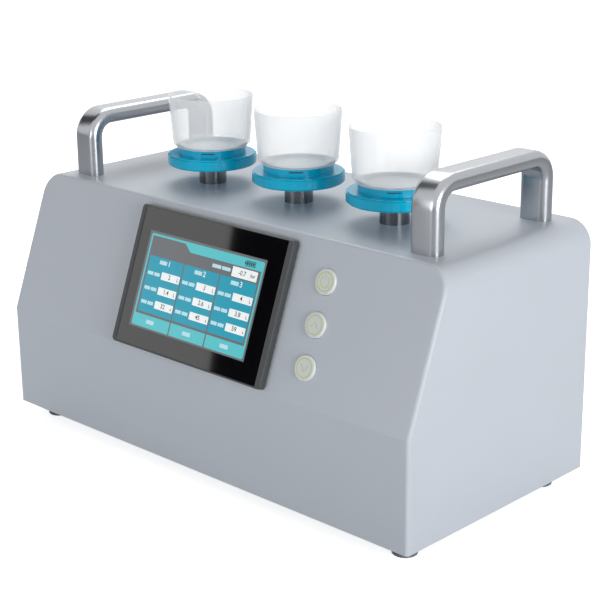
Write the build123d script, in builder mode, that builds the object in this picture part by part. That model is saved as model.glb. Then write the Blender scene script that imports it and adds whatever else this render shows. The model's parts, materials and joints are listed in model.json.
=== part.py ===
from build123d import *
from math import atan2, degrees, hypot
import os

os.makedirs("parts", exist_ok=True)

# Bench instrument that draws water through three filter cups at once.
# Millimetres. +X is to the operator's right, +Y to the back, +Z up.
# The origin is on the floor under the middle of the whole instrument.

# Housing
body_width = 480.0
body_depth = 226.5
body_height = 215.0
front_upright = 93.0
front_setback = 46.0
sheet = 2.0
end_round = 20.0
front_round = 3.0
lip_width = 12.0
lip_thick = 2.0
base_thick = 2.0
panel_thick = 2.0
panel_gap = 0.3
upturn_height = 14.0

# Screws that hold the sheets
screw_r = 1.5
screw_gap = 0.2
screw_head_r = 2.9
screw_head_height = 1.8
screw_length = 8.0
side_screw_count = 3
side_screw_pitch = 72.0
long_screw_count = 3
long_screw_inset = 50.0

# Rubber feet
foot_height = 14.0
foot_top_r = 11.6
foot_bottom_r = 10.4
foot_edge_round = 1.6
foot_inset_x = 24.3
foot_inset_front = 26.0
foot_inset_back = 24.0
foot_screw_r = 2.0
foot_screw_head_r = 3.8
foot_screw_head_height = 2.6
foot_screw_sink = 7.0
foot_nut_across = 7.0
foot_nut_height = 3.2

# Carrying handles
handle_inset = 39.5
handle_front_inset = 66.5
handle_rear_inset = 22.0
handle_rise = 53.0
handle_wide = 27.0
handle_thick = 14.4
handle_corner = 6.1
handle_bend = 18.5
handle_screw_r = 2.5
handle_screw_gap = 0.1
handle_screw_reach = 14.0
handle_head_r = 5.0
handle_head_height = 3.5

# Filter stations: row, outlet posts and their nuts
station_count = 3
station_share = 0.224167
row_share = 0.030833
row_rear_inset = 106.8
post_r = 12.3
post_height = 17.3
post_edge = 0.6
spigot_r = 9.0
spigot_height = 10.0
spigot_edge = 0.8
post_bore_r = 2.2
shank_r = 8.0
shank_length = 16.0
shank_gap = 0.2
nut_across = 24.0
nut_height = 6.0
seal_width = 1.8
seal_height = 2.0
seal_rise = 4.0
fit_gap = 0.05

# Cup bases
disc_r = 39.7
disc_height = 9.9
disc_step = 1.3
disc_round = 1.5
collar_r = 30.1
collar_height = 6.6
collar_wall = 2.8
seat_drop = 1.9
grid_r = 23.6
grid_depth = 1.4
grid_rib = 1.3
grid_ring_pitch = 5.6
grid_ring_count = 3
grid_spoke_count = 8
base_drain_r = 3.0
base_wall = 2.5
base_recess = 3.0
socket_wall = 4.5
socket_slack = 0.5

# Membranes, gaskets and clear cups
membrane_r = 25.0
membrane_thick = 0.4
gasket_r = 31.7
gasket_thick = 0.6
cup_spigot_inner_r = 24.2
cup_loose = 0.3
cup_flange_r = 31.9
cup_flange_height = 0.6
cup_low_r = 34.3
cup_low_height = 1.9
cup_rim_r = 37.5
cup_height = 45.1
cup_wall = 1.3
cup_floor_rise = 1.5
cup_rim_edge = 0.4

# Touch screen
bezel_x = -1.4
bezel_v = 62.3
bezel_width = 183.4
bezel_height = 121.9
bezel_proud = 6.5
bezel_corner = 3.5
bezel_edge = 1.0
rail_width = 6.3
border_width = 1.6
glass_thick = 1.8
glass_gap = 0.15
glass_sink = 0.2
tub_side_margin = 7.7
tub_end_margin = 7.95
tub_depth = 22.0
tub_wall = 2.2
cutout_gap = 0.5
bezel_gasket_thick = 0.8
bezel_gasket_inset = 1.2
display_gap = 1.0
display_thick = 5.0
driver_share = 0.6
driver_thick = 2.0
screen_board_space = 6.0
screen_chip_side = 16.0
screen_chip_thick = 3.0
screen_plug_width = 40.0
screen_plug_height = 9.0
screen_plug_depth = 7.0
screen_coil_side = 14.0
screen_coil_depth = 5.0
back_cover_thick = 2.0
clamp_width = 12.0
clamp_height = 7.0
clamp_depth = 12.0
clamp_inset = 24.0

# Push buttons
button_offset = 36.4
button_v = 63.2
button_pitch = 34.5
button_r = 10.5
button_proud = 2.2
button_round = 1.2
button_gap = 0.3
button_flange = 1.7
button_flange_thick = 1.2
button_travel = 1.2
stem_r = 2.5
stem_length = 6.8
guide_gap = 0.3
guide_drop = 4.0
guide_thick = 2.5
carrier_width = 28.0
carrier_end = 17.0
carrier_leg_r = 2.5
carrier_leg_x = 9.0
switch_gap = 0.1
switch_side = 6.2
switch_body = 2.6
plunger_r = 1.6
plunger_height = 0.6
board_thick = 1.6

# Valves, flow sensors and their bracket
bracket_thick = 2.0
bracket_foot = 25.0
bracket_margin = 16.0
manifold_depth = 24.0
manifold_height = 22.0
manifold_lift = 24.0
valve_side = 24.0
coil_r = 11.0
coil_length = 30.0
coil_nut_r = 4.0
coil_nut_length = 4.0
sensor_r = 14.0
sensor_height = 136.5
gauge_r = 9.0
gauge_length = 22.0
gauge_neck_r = 5.0
gauge_neck_length = 6.0

# Hoses and the barbs that they slide over
barb_r = 3.1
barb_length = 12.0
hose_wall = 1.6
hose_gap = 0.1
hose_stand = 1.0
pump_hose_bend = 14.0
drain_hose_bend = 24.0

# Pump
pump_side_inset = 45.0
pump_rear_gap = 7.5
pump_head_side = 46.0
pump_head_depth = 28.0
pump_port_offset = 10.0
motor_r = 18.0
motor_length = 37.0
motor_boss_r = 6.0
motor_boss_length = 3.0
saddle_floor = 5.0
saddle_width = 42.0
saddle_depth = 18.0
saddle_head_gap = 1.5
saddle_gap = 0.1

# Drain fitting at the back
drain_z = 100.0
drain_nut_across = 19.0
drain_nut_height = 5.0
drain_stub_r = 5.0
drain_stub_length = 17.0
drain_bore_r = 2.2
drain_shank_r = 6.0
drain_shank_length = 9.0

# Battery
battery_side_inset = 70.0
battery_width = 78.0
battery_depth = 70.0
battery_height = 66.0
battery_round = 4.0
battery_back_gap = 8.0
strap_thick = 1.5
strap_depth = 24.0
strap_foot = 9.0
strap_gap = 0.2

# Main board on the back panel
board_x = -35.0
board_z = 140.0
board_width = 150.0
board_height = 90.0
standoff_r = 3.0
standoff_length = 8.0
board_edge = 6.0
heat_sink_width = 30.0
heat_sink_height = 26.0
heat_sink_depth = 18.0
chip_side = 18.0
chip_thick = 3.0
relay_width = 14.0
relay_height = 30.0
relay_depth = 11.0
plug_row_width = 70.0
plug_row_height = 8.0
plug_row_depth = 9.0
capacitor_r = 4.5
capacitor_height = 12.0
capacitor_pitch = 12.0
capacitor_count = 4

# Cooling fan
fan_side_inset = 110.0
fan_z = 165.0
fan_side = 60.0
fan_depth = 15.0
fan_bore_r = 28.5
fan_hole_pitch = 50.0
fan_hub_r = 12.5
fan_tip_gap = 1.0
fan_end_gap = 1.5
fan_plate_thick = 3.0
fan_plate_r = 13.0
fan_strut = 4.0
fan_blade_count = 7
fan_blade_thick = 1.2
fan_root_chord = 12.0
fan_tip_chord = 13.0
fan_root_angle = 48.0
fan_tip_angle = 66.0
fan_shaft_r = 1.5
fan_screw_r = 1.9
grille_ring_count = 3
grille_ring_width = 4.4
grille_ring_pitch = 7.2
grille_first_r = 7.5
grille_spoke = 4.0

# Cooling slots
vent_side_inset = 70.0
vent_z = 150.0
vent_length = 66.0
vent_width = 3.4
vent_pitch = 9.0
vent_count = 8
under_vent_width = 5.0
under_vent_length = 60.0
under_vent_pitch = 12.0
under_vent_count = 5

# Main switch and supply socket
service_z = 52.0
switch_socket_pitch = 40.0
switch_flange_width = 16.0
switch_flange_height = 23.6
switch_flange_thick = 1.8
switch_body_width = 13.2
switch_body_height = 20.0
switch_body_depth = 16.0
switch_cut_gap = 0.2
rocker_width = 11.0
rocker_half = 8.0
rocker_end_height = 5.0
rocker_mid_height = 3.2
rocker_belly = 4.0
rocker_side_gap = 0.3
rocker_end_gap = 1.1
rocker_tilt = 8.0
rocker_pivot_sink = 2.0
rocker_pin_r = 1.2
rocker_well = 10.0
socket_battery_gap = 51.0
socket_flange_r = 7.5
socket_flange_thick = 2.0
socket_body_r = 5.8
socket_body_length = 13.0
socket_bore_r = 3.2
socket_bore_depth = 10.0
socket_pin_r = 1.0
socket_gap = 0.2

# Overcut that carries a cut clear of the face it leaves
clear = 1.0

# Places that follow from the sizes
slope_rise = body_height - front_upright
slope_length = hypot(front_setback, slope_rise)
lean = degrees(atan2(front_setback, slope_rise))
bezel_foot = bezel_v - bezel_height / 2 + bezel_edge
front_reach = (bezel_proud * slope_rise - bezel_foot * front_setback) / slope_length
rear_reach = drain_nut_height + drain_stub_length
front_y = -(body_depth + rear_reach - front_reach) / 2
back_y = front_y + body_depth
shell_z = foot_height
floor_z = shell_z + base_thick
top_z = shell_z + body_height
bend_z = shell_z + front_upright
face = Plane(
    origin=(0, front_y, bend_z),
    x_dir=(1, 0, 0),
    z_dir=(0, -slope_rise / slope_length, front_setback / slope_length),
)
lip_y = back_y - panel_thick - lip_thick
lip_z = floor_z + lip_thick
inside_back_y = back_y - panel_thick
tub_width = bezel_width - 2 * tub_side_margin
tub_height = bezel_height - 2 * tub_end_margin
button_x = bezel_x + bezel_width / 2 + button_offset
station_pitch = body_width * station_share
row_x = body_width * row_share
row_y = back_y - row_rear_inset
station_xs = [row_x + station_pitch * (i - (station_count - 1) / 2) for i in range(station_count)]
handle_xs = [-body_width / 2 + handle_inset, body_width / 2 - handle_inset]
handle_ys = [front_y + handle_front_inset, back_y - handle_rear_inset]
button_vs = [button_v + button_pitch * (1 - i) for i in range(3)]
sealed_z = top_z + post_height
seat_height = post_height + disc_height + collar_height - seat_drop
collar_top = seat_height + seat_drop
cup_z = collar_top + gasket_thick
manifold_half = station_pitch * (station_count - 1) / 2 + bracket_margin
manifold_z = floor_z + manifold_lift
port_z = manifold_z + manifold_height / 2
pump_x = body_width / 2 - pump_side_inset
pump_y = inside_back_y - pump_rear_gap - motor_boss_length - motor_length - pump_head_depth
pump_z = floor_z + pump_head_side / 2
drain_x = pump_x + pump_port_offset
hose_r = barb_r + hose_gap + hose_wall
battery_x = -body_width / 2 + battery_side_inset
socket_x = battery_x + battery_width / 2 + socket_battery_gap
switch_x = socket_x + switch_socket_pitch
vent_x = -body_width / 2 + vent_side_inset
fan_x = body_width / 2 - fan_side_inset


def across(y):
    """Plane at depth y that faces the front, with height up."""
    return Plane(origin=(0, y, 0), x_dir=(1, 0, 0), z_dir=(0, -1, 0))


def on_face(x, v, height=0.0):
    """Plane on the sloping face: x across, v up the slope, height above the sheet."""
    return Plane(origin=face.from_local_coords(Vector(x, v, height)), x_dir=face.x_dir, z_dir=face.z_dir)


def at_rear(x, z, out=0.0):
    """Plane on the back of the instrument that faces backwards."""
    return Plane(origin=(x, back_y + out, z), x_dir=(-1, 0, 0), z_dir=(0, 1, 0))


def on_top(x, y, z):
    """Level plane that faces up."""
    return Plane(origin=(x, y, z), x_dir=(1, 0, 0), z_dir=(0, 0, 1))


def beneath(x, y, z):
    """Level plane that faces down."""
    return Plane(origin=(x, y, z), x_dir=(1, 0, 0), z_dir=(0, 0, -1))


def facing_right(x, y, z):
    """Upright plane that faces to the right."""
    return Plane(origin=(x, y, z), x_dir=(0, 1, 0), z_dir=(1, 0, 0))


def facing_front(x, y, z):
    """Upright plane that faces to the front."""
    return Plane(origin=(x, y, z), x_dir=(1, 0, 0), z_dir=(0, -1, 0))


def rod(seat, radius, length, mode=Mode.ADD):
    """Round bar that stands on a plane, in the part being built."""
    with BuildSketch(seat) as outline:
        Circle(radius)
    extrude(outline.sketch, amount=length, mode=mode)


def block(seat, width, height, length, mode=Mode.ADD):
    """Square-edged block that stands on a plane, in the part being built."""
    with BuildSketch(seat) as outline:
        Rectangle(width, height)
    extrude(outline.sketch, amount=length, mode=mode)


def hexagon(seat, across_flats, length):
    """Six-sided nut that stands on a plane, in the part being built."""
    with BuildSketch(seat) as outline:
        RegularPolygon(across_flats / 2, 6, major_radius=False)
    extrude(outline.sketch, amount=length)


def drill(seats, radius, depth):
    """Round hole down from each plane, in the part being built."""
    for seat in seats:
        rod(seat, radius, -depth, Mode.SUBTRACT)


def save(name, piece):
    """Label a finished piece and write its file."""
    piece.part.label = name
    export_step(piece.part, f"parts/{name}.step")


def body_section(inset, bottom):
    """Body seen from the front, moved in by inset: square below, round at both upper corners."""
    with BuildSketch(Plane.XY) as outline:
        with Locations((0, bottom)):
            Rectangle(body_width - 2 * inset, top_z - inset - bottom, align=(Align.CENTER, Align.MIN))
        fillet(outline.vertices().group_by(Axis.Y)[-1], end_round - inset)
    return outline.sketch


def front_edges(form, inset):
    """Edges round the upright and the sloping front of a form that lies inset in the body."""
    slope = face.offset(-inset)
    lowest = form.part.bounding_box().min.Z

    def on_front(edge):
        middle = edge.position_at(0.5)
        upright = abs(middle.Y - front_y - inset) < 0.01
        sloping = abs(slope.to_local_coords(middle).Z) < 0.01
        return (upright or sloping) and middle.Z > lowest + 0.01

    return form.edges().filter_by(on_front)


# Screw places, one plane each, on the face that the screw head sits on
def spread(count, pitch):
    """Places along a line, evenly spaced about its middle."""
    return [pitch * (i - (count - 1) / 2) for i in range(count)]


side_x = body_width / 2 - sheet - lip_width / 2
middle_z = shell_z + body_height / 2
long_screw_pitch = body_width / 2 - long_screw_inset
rear_seats = [at_rear(side * side_x, middle_z + z) for side in (-1, 1) for z in spread(side_screw_count, side_screw_pitch)]
rear_seats += [at_rear(x, top_z - sheet - lip_width / 2) for x in spread(long_screw_count, long_screw_pitch)]
upturn_seats = [at_rear(x, floor_z + upturn_height / 2) for x in spread(long_screw_count, long_screw_pitch)]
base_seats = [beneath(x, front_y + sheet + lip_width / 2, shell_z) for x in spread(long_screw_count, long_screw_pitch)]
base_seats += [
    beneath(side * side_x, front_y + body_depth / 2 + y, shell_z)
    for side in (-1, 1)
    for y in spread(side_screw_count, side_screw_pitch)
]
foot_xs = [-body_width / 2 + foot_inset_x, body_width / 2 - foot_inset_x]
foot_ys = [front_y + foot_inset_front, back_y - foot_inset_back]
foot_places = [(x, y) for x in foot_xs for y in foot_ys]
foot_seats = [beneath(x, y, shell_z) for x, y in foot_places]
handle_places = [(x, y) for x in handle_xs for y in handle_ys]
half_fan = fan_hole_pitch / 2
fan_seats = [at_rear(fan_x + i * half_fan, fan_z + j * half_fan) for i in (-1, 1) for j in (-1, 1)]
post_seats = [on_top(x, row_y, top_z) for x in station_xs]


# Housing shell: front, sloping face, top and both ends in one bent and welded sheet
with BuildPart() as inner_space:
    with BuildSketch(across(lip_y)):
        add(body_section(sheet, lip_z))
    extrude(amount=lip_y - front_y - sheet)
    split(bisect_by=face.offset(-sheet), keep=Keep.BOTTOM)
    fillet(front_edges(inner_space, sheet), front_round - sheet)

with BuildPart() as housing_shell:
    with BuildSketch(across(back_y)):
        add(body_section(0, shell_z))
    extrude(amount=body_depth)
    split(bisect_by=face, keep=Keep.BOTTOM)
    fillet(front_edges(housing_shell, 0), front_round)
    add(inner_space.part, mode=Mode.SUBTRACT)
    # Rear opening inside its lip, then the step that takes the back panel
    with BuildSketch(across(back_y)):
        add(body_section(sheet + lip_width, shell_z - clear))
    extrude(amount=panel_thick + lip_thick, mode=Mode.SUBTRACT)
    with BuildSketch(across(back_y)):
        add(body_section(sheet, shell_z - clear))
    extrude(amount=panel_thick, mode=Mode.SUBTRACT)
    # Bottom opening inside its lip, then the step that takes the base plate
    opening_depth = body_depth - sheet - lip_width
    with BuildSketch(Plane.XY.offset(shell_z)):
        with Locations((0, back_y - opening_depth / 2)):
            Rectangle(body_width - 2 * (sheet + lip_width), opening_depth)
    extrude(amount=base_thick + lip_thick, mode=Mode.SUBTRACT)
    with BuildSketch(Plane.XY.offset(shell_z)):
        with Locations((0, back_y - (body_depth - sheet) / 2)):
            Rectangle(body_width - 2 * sheet, body_depth - sheet)
    extrude(amount=base_thick, mode=Mode.SUBTRACT)
    # Openings for the screen, the buttons, the posts and the handle screws
    with BuildSketch(on_face(bezel_x, bezel_v)):
        Rectangle(tub_width + 2 * cutout_gap, tub_height + 2 * cutout_gap)
    extrude(amount=-2 * sheet, mode=Mode.SUBTRACT)
    drill([on_face(button_x, v) for v in button_vs], button_r + button_gap, 2 * sheet)
    drill(post_seats, shank_r + shank_gap, 2 * sheet)
    drill([on_top(x, y, top_z) for x, y in handle_places], handle_screw_r + screw_gap, 2 * sheet)
    drill(rear_seats, screw_r + screw_gap, panel_thick + lip_thick + clear)
    drill(base_seats, screw_r + screw_gap, base_thick + lip_thick + clear)
save("housing_shell", housing_shell)

# Base plate with its upturned rear edge
with BuildPart() as base_plate:
    plate_depth = body_depth - sheet - panel_gap
    with BuildSketch(Plane.XY.offset(shell_z)):
        with Locations((0, back_y - plate_depth / 2)):
            Rectangle(body_width - 2 * (sheet + panel_gap), plate_depth)
    extrude(amount=base_thick)
    upturn_width = body_width - 2 * (sheet + lip_width + panel_gap)
    block(on_top(0, inside_back_y - base_thick / 2, floor_z), upturn_width, base_thick, upturn_height)
    drill(base_seats, screw_r + screw_gap, base_thick)
    drill(foot_seats, foot_screw_r + screw_gap, base_thick)
    drill(upturn_seats, screw_r + screw_gap, panel_thick + base_thick)
    with BuildSketch(Plane.XY.offset(shell_z)):
        with Locations((0, front_y + body_depth / 4)):
            with GridLocations(under_vent_length * 2, under_vent_pitch, 2, under_vent_count):
                SlotOverall(under_vent_length, under_vent_width)
    extrude(amount=base_thick, mode=Mode.SUBTRACT)
save("base_plate", base_plate)

# Rubber feet, each with a deep counterbore for its screw
with BuildPart() as foot:
    with BuildSketch(Plane.XZ):
        with BuildLine():
            Polyline(
                (foot_screw_head_r + 2 * screw_gap, 0),
                (foot_bottom_r, 0),
                (foot_top_r, foot_height),
                (foot_screw_r + screw_gap, foot_height),
                (foot_screw_r + screw_gap, foot_screw_sink),
                (foot_screw_head_r + 2 * screw_gap, foot_screw_sink),
                close=True,
            )
        make_face()
    revolve(axis=Axis.Z)
    fillet(foot.edges().group_by(Axis.Z)[0].sort_by(SortBy.RADIUS)[-1], foot_edge_round)

with BuildPart() as rubber_feet:
    with Locations(*foot_places):
        add(foot.part)
save("rubber_feet", rubber_feet)

with BuildPart() as foot_screws:
    for x, y in foot_places:
        rod(on_top(x, y, foot_screw_sink), foot_screw_head_r, -foot_screw_head_height)
        rod(on_top(x, y, foot_screw_sink), foot_screw_r, floor_z + foot_nut_height - foot_screw_sink)
        hexagon(on_top(x, y, floor_z), foot_nut_across, foot_nut_height)
save("foot_screws", foot_screws)

with BuildPart() as base_screws:
    for seat in base_seats:
        rod(seat, screw_head_r, screw_head_height)
        rod(seat, screw_r, -screw_length)
save("base_screws", base_screws)


# Carrying handles: one bent oval bar each, tapped from below in both legs
def bar_handle(x):
    """Handle whose two legs stand on the top plate, one behind the other."""
    front, rear = handle_ys
    bar_z = top_z + handle_rise
    with BuildPart() as bar:
        with BuildLine():
            FilletPolyline(
                (x, front, top_z), (x, front, bar_z), (x, rear, bar_z), (x, rear, top_z), radius=handle_bend
            )
        with BuildSketch(on_top(x, front, top_z)):
            RectangleRounded(handle_wide, handle_thick, handle_corner)
        sweep()
        drill([beneath(x, y, top_z) for y in handle_ys], handle_screw_r + handle_screw_gap, handle_screw_reach + clear)
    return bar


left_handle = bar_handle(handle_xs[0])
right_handle = bar_handle(handle_xs[1])
save("left_handle", left_handle)
save("right_handle", right_handle)

with BuildPart() as handle_screws:
    for x, y in handle_places:
        under_plate = beneath(x, y, top_z - sheet)
        rod(under_plate, handle_head_r, handle_head_height)
        rod(under_plate, handle_screw_r, -sheet - handle_screw_reach)
save("handle_screws", handle_screws)

# Back panel: switch and socket cut-outs, punched fan grille, cooling slots, board standoffs
with BuildPart() as rear_panel:
    with BuildSketch(across(back_y)):
        add(body_section(sheet + panel_gap, floor_z + panel_gap))
    extrude(amount=panel_thick)
    drill(rear_seats + upturn_seats, screw_r + screw_gap, panel_thick)
    drill(fan_seats, fan_screw_r + screw_gap, panel_thick)
    drill([at_rear(drain_x, drain_z)], drain_shank_r + screw_gap, panel_thick)
    drill([at_rear(socket_x, service_z)], socket_body_r + socket_gap, panel_thick)
    block(
        at_rear(switch_x, service_z),
        switch_body_width + 2 * switch_cut_gap,
        switch_body_height + 2 * switch_cut_gap,
        -panel_thick,
        Mode.SUBTRACT,
    )
    with BuildSketch(at_rear(fan_x, fan_z)):
        for ring in range(grille_ring_count):
            ring_r = grille_first_r + ring * grille_ring_pitch
            Circle(ring_r + grille_ring_width)
            Circle(ring_r, mode=Mode.SUBTRACT)
        Rectangle(2 * fan_bore_r, grille_spoke, mode=Mode.SUBTRACT)
        Rectangle(grille_spoke, 2 * fan_bore_r, mode=Mode.SUBTRACT)
    extrude(amount=-panel_thick, mode=Mode.SUBTRACT)
    with BuildSketch(at_rear(vent_x, vent_z)):
        with GridLocations(0, vent_pitch, 1, vent_count):
            SlotOverall(vent_length, vent_width)
    extrude(amount=-panel_thick, mode=Mode.SUBTRACT)
    standoff_x = board_width / 2 - board_edge
    standoff_z = board_height / 2 - board_edge
    for i in (-1, 1):
        for j in (-1, 1):
            rod(at_rear(board_x + i * standoff_x, board_z + j * standoff_z, -panel_thick), standoff_r, -standoff_length)
save("rear_panel", rear_panel)

with BuildPart() as rear_screws:
    for seat in rear_seats + upturn_seats:
        rod(seat, screw_head_r, screw_head_height)
        rod(seat, screw_r, -screw_length)
    for seat in fan_seats:
        rod(seat, 2 * fan_screw_r, screw_head_height)
        rod(seat, fan_screw_r, -panel_thick - fan_depth + clear)
save("rear_screws", rear_screws)

# Touch screen: moulded bezel with the tub that passes through the sloping sheet
glass_width = bezel_width - 2 * rail_width
glass_height = bezel_height - 2 * border_width
glass_top = bezel_proud - glass_sink
display_width = tub_width - 2 * (tub_wall + display_gap)
display_height = tub_height - 2 * (tub_wall + display_gap)
with BuildPart() as screen_bezel:
    with BuildSketch(on_face(bezel_x, bezel_v, bezel_gasket_thick)):
        RectangleRounded(bezel_width, bezel_height, bezel_corner)
    extrude(amount=bezel_proud - bezel_gasket_thick)
    rim = screen_bezel.faces().filter_by(face).sort_by(Axis(face.origin, face.z_dir))[-1]
    chamfer(rim.edges(), bezel_edge)
    block(on_face(bezel_x, bezel_v, bezel_gasket_thick), tub_width, tub_height, -bezel_gasket_thick - tub_depth)
    block(
        on_face(bezel_x, bezel_v, bezel_proud),
        glass_width + 2 * glass_gap,
        glass_height + 2 * glass_gap,
        -glass_sink - glass_thick,
        Mode.SUBTRACT,
    )
    block(
        on_face(bezel_x, bezel_v, bezel_proud),
        tub_width - 2 * tub_wall,
        tub_height - 2 * tub_wall,
        -bezel_proud - tub_depth,
        Mode.SUBTRACT,
    )
save("screen_bezel", screen_bezel)

with BuildPart() as screen_gasket:
    with BuildSketch(on_face(bezel_x, bezel_v)):
        Rectangle(bezel_width - 2 * bezel_gasket_inset, bezel_height - 2 * bezel_gasket_inset)
        Rectangle(tub_width + 2 * cutout_gap, tub_height + 2 * cutout_gap, mode=Mode.SUBTRACT)
    extrude(amount=bezel_gasket_thick)
save("screen_gasket", screen_gasket)

with BuildPart() as touch_glass:
    block(on_face(bezel_x, bezel_v, glass_top), glass_width, glass_height, -glass_thick)
save("touch_glass", touch_glass)

with BuildPart() as lcd_module:
    block(on_face(bezel_x, bezel_v, glass_top - glass_thick), display_width, display_height, -display_thick)
    # Driver cover on the back of the display, with the four posts that carry the board
    board_drop = display_thick + screen_board_space
    block(
        on_face(bezel_x, bezel_v, glass_top - glass_thick - display_thick),
        display_width * driver_share,
        display_height * driver_share,
        -driver_thick,
    )
    for i in (-1, 1):
        for j in (-1, 1):
            post_place = on_face(
                bezel_x + i * (display_width / 2 - board_edge),
                bezel_v + j * (display_height / 2 - board_edge),
                glass_top - glass_thick - display_thick,
            )
            rod(post_place, standoff_r, display_thick - board_drop)
save("lcd_module", lcd_module)

with BuildPart() as screen_board:
    board_height_on_face = glass_top - glass_thick - board_drop
    block(on_face(bezel_x, bezel_v, board_height_on_face), display_width, display_height, -board_thick)
    far_side = board_height_on_face - board_thick
    chip_place = on_face(bezel_x - display_width / 4, bezel_v, far_side)
    block(chip_place, screen_chip_side, screen_chip_side, -screen_chip_thick)
    plug_place = on_face(bezel_x, bezel_v - display_height / 3, far_side)
    block(plug_place, screen_plug_width, screen_plug_height, -screen_plug_depth)
    coil_place = on_face(bezel_x + display_width / 4, bezel_v, far_side)
    block(coil_place, screen_coil_side, screen_coil_side, -screen_coil_depth)
save("screen_board", screen_board)

with BuildPart() as screen_back_cover:
    with BuildSketch(on_face(bezel_x, bezel_v, -tub_depth)):
        Rectangle(tub_width, tub_height)
        with GridLocations(0, vent_pitch, 1, vent_count):
            SlotOverall(vent_length, vent_width, mode=Mode.SUBTRACT)
    extrude(amount=-back_cover_thick)
save("screen_back_cover", screen_back_cover)

with BuildPart() as screen_clamps:
    for side in (-1, 1):
        for v in spread(2, tub_height - 2 * clamp_inset):
            clamp_place = on_face(bezel_x + side * (tub_width + clamp_height) / 2, bezel_v + v, -sheet)
            block(clamp_place, clamp_height, clamp_width, -clamp_depth)
            rod(clamp_place.offset(-clamp_depth), screw_head_r, -screw_head_height)
save("screen_clamps", screen_clamps)

# Push buttons: cap with a flange behind the sheet and a stem that reaches the switch
stem_top = -sheet - button_flange_thick
button_names = ["power_button", "up_button", "down_button"]
for button_name, v in zip(button_names, button_vs):
    with BuildPart() as button:
        rod(on_face(button_x, v, button_proud), button_r, -button_proud - sheet)
        fillet(button.edges().sort_by(Axis(face.origin, face.z_dir))[-1], button_round)
        rod(on_face(button_x, v, -sheet), button_r + button_flange, -button_flange_thick)
        rod(on_face(button_x, v, stem_top), stem_r, -stem_length)
    save(button_name, button)

guide_top = -sheet - guide_drop
plunger_top = stem_top - stem_length - button_travel - switch_gap
board_top = plunger_top - plunger_height - switch_body
leg_places = [(i * carrier_leg_x, j * button_pitch / 2) for i in (-1, 1) for j in (-1, 1)]
with BuildPart() as button_carrier:
    carrier_length = 2 * button_pitch + 2 * carrier_end
    block(on_face(button_x, button_v, guide_top), carrier_width, carrier_length, -guide_thick)
    for i, j in leg_places:
        rod(on_face(button_x + i, button_v + j, -sheet), carrier_leg_r, -guide_drop)
        rod(on_face(button_x + i, button_v + j, guide_top), carrier_leg_r, board_top - guide_top)
    drill([on_face(button_x, v, guide_top) for v in button_vs], stem_r + guide_gap, guide_thick)
save("button_carrier", button_carrier)

with BuildPart() as button_board:
    block(on_face(button_x, button_v, board_top), carrier_width, carrier_length, -board_thick)
    for v in button_vs:
        block(on_face(button_x, v, board_top), switch_side, switch_side, switch_body)
        rod(on_face(button_x, v, board_top + switch_body), plunger_r, plunger_height)
save("button_board", button_board)


# Filter stations: every round piece is turned about the post's axis from its half section
def turned(x, points):
    """Piece turned about the filter axis at x. Points are radius and height above the top plate."""
    with BuildPart() as piece:
        with BuildSketch(Plane(origin=(x, row_y, top_z), x_dir=(1, 0, 0), z_dir=(0, -1, 0))):
            with BuildLine():
                Polyline(*points, close=True)
            make_face()
        revolve(axis=Axis((x, row_y, top_z), (0, 0, 1)))
    return piece


def filter_post(x):
    """Polished outlet post: collar and grooved spigot above the plate, thread and barb below."""
    groove_low = post_height + seal_rise
    groove_r = spigot_r - seal_width
    return turned(
        x,
        [
            (post_bore_r, -shank_length - barb_length),
            (barb_r, -shank_length - barb_length),
            (barb_r, -shank_length),
            (shank_r, -shank_length),
            (shank_r, 0),
            (post_r, 0),
            (post_r, post_height - post_edge),
            (post_r - post_edge, post_height),
            (spigot_r, post_height),
            (spigot_r, groove_low),
            (groove_r, groove_low),
            (groove_r, groove_low + seal_height),
            (spigot_r, groove_low + seal_height),
            (spigot_r, post_height + spigot_height - spigot_edge),
            (spigot_r - spigot_edge, post_height + spigot_height),
            (post_bore_r, post_height + spigot_height),
        ],
    )


def cup_base(x):
    """Blue moulded base: stepped disc, collar, ribbed membrane support and a socket for the post."""
    disc_top = post_height + disc_height
    socket_r = spigot_r + fit_gap
    socket_top = post_height + spigot_height + socket_slack
    grid_floor = seat_height - grid_depth
    ceiling = post_height + base_recess
    form = turned(
        x,
        [
            (socket_r, post_height),
            (socket_r + socket_wall, post_height),
            (socket_r + socket_wall, ceiling),
            (disc_r - base_wall, ceiling),
            (disc_r - base_wall, post_height),
            (disc_r - disc_round, post_height),
            (disc_r, post_height + disc_round),
            (disc_r, disc_top - disc_step),
            (disc_r - disc_step, disc_top - disc_step),
            (disc_r - disc_step, disc_top),
            (collar_r, disc_top),
            (collar_r, collar_top),
            (collar_r - collar_wall, collar_top),
            (collar_r - collar_wall, seat_height),
            (grid_r, seat_height),
            (grid_r, grid_floor),
            (base_drain_r, grid_floor),
            (base_drain_r, socket_top),
            (socket_r, socket_top),
        ],
    )
    with BuildPart() as base:
        add(form.part)
        # Support grid: rings and spokes, level with the land that carries the membrane's edge
        with BuildSketch(on_top(x, row_y, top_z + grid_floor)):
            for ring in range(1, grid_ring_count + 1):
                Circle(ring * grid_ring_pitch + grid_rib)
                Circle(ring * grid_ring_pitch, mode=Mode.SUBTRACT)
            spoke_length = grid_r - base_drain_r - grid_rib
            with PolarLocations(grid_r - spoke_length / 2, grid_spoke_count):
                Rectangle(spoke_length, grid_rib)
        extrude(amount=grid_depth)
    return base


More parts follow.
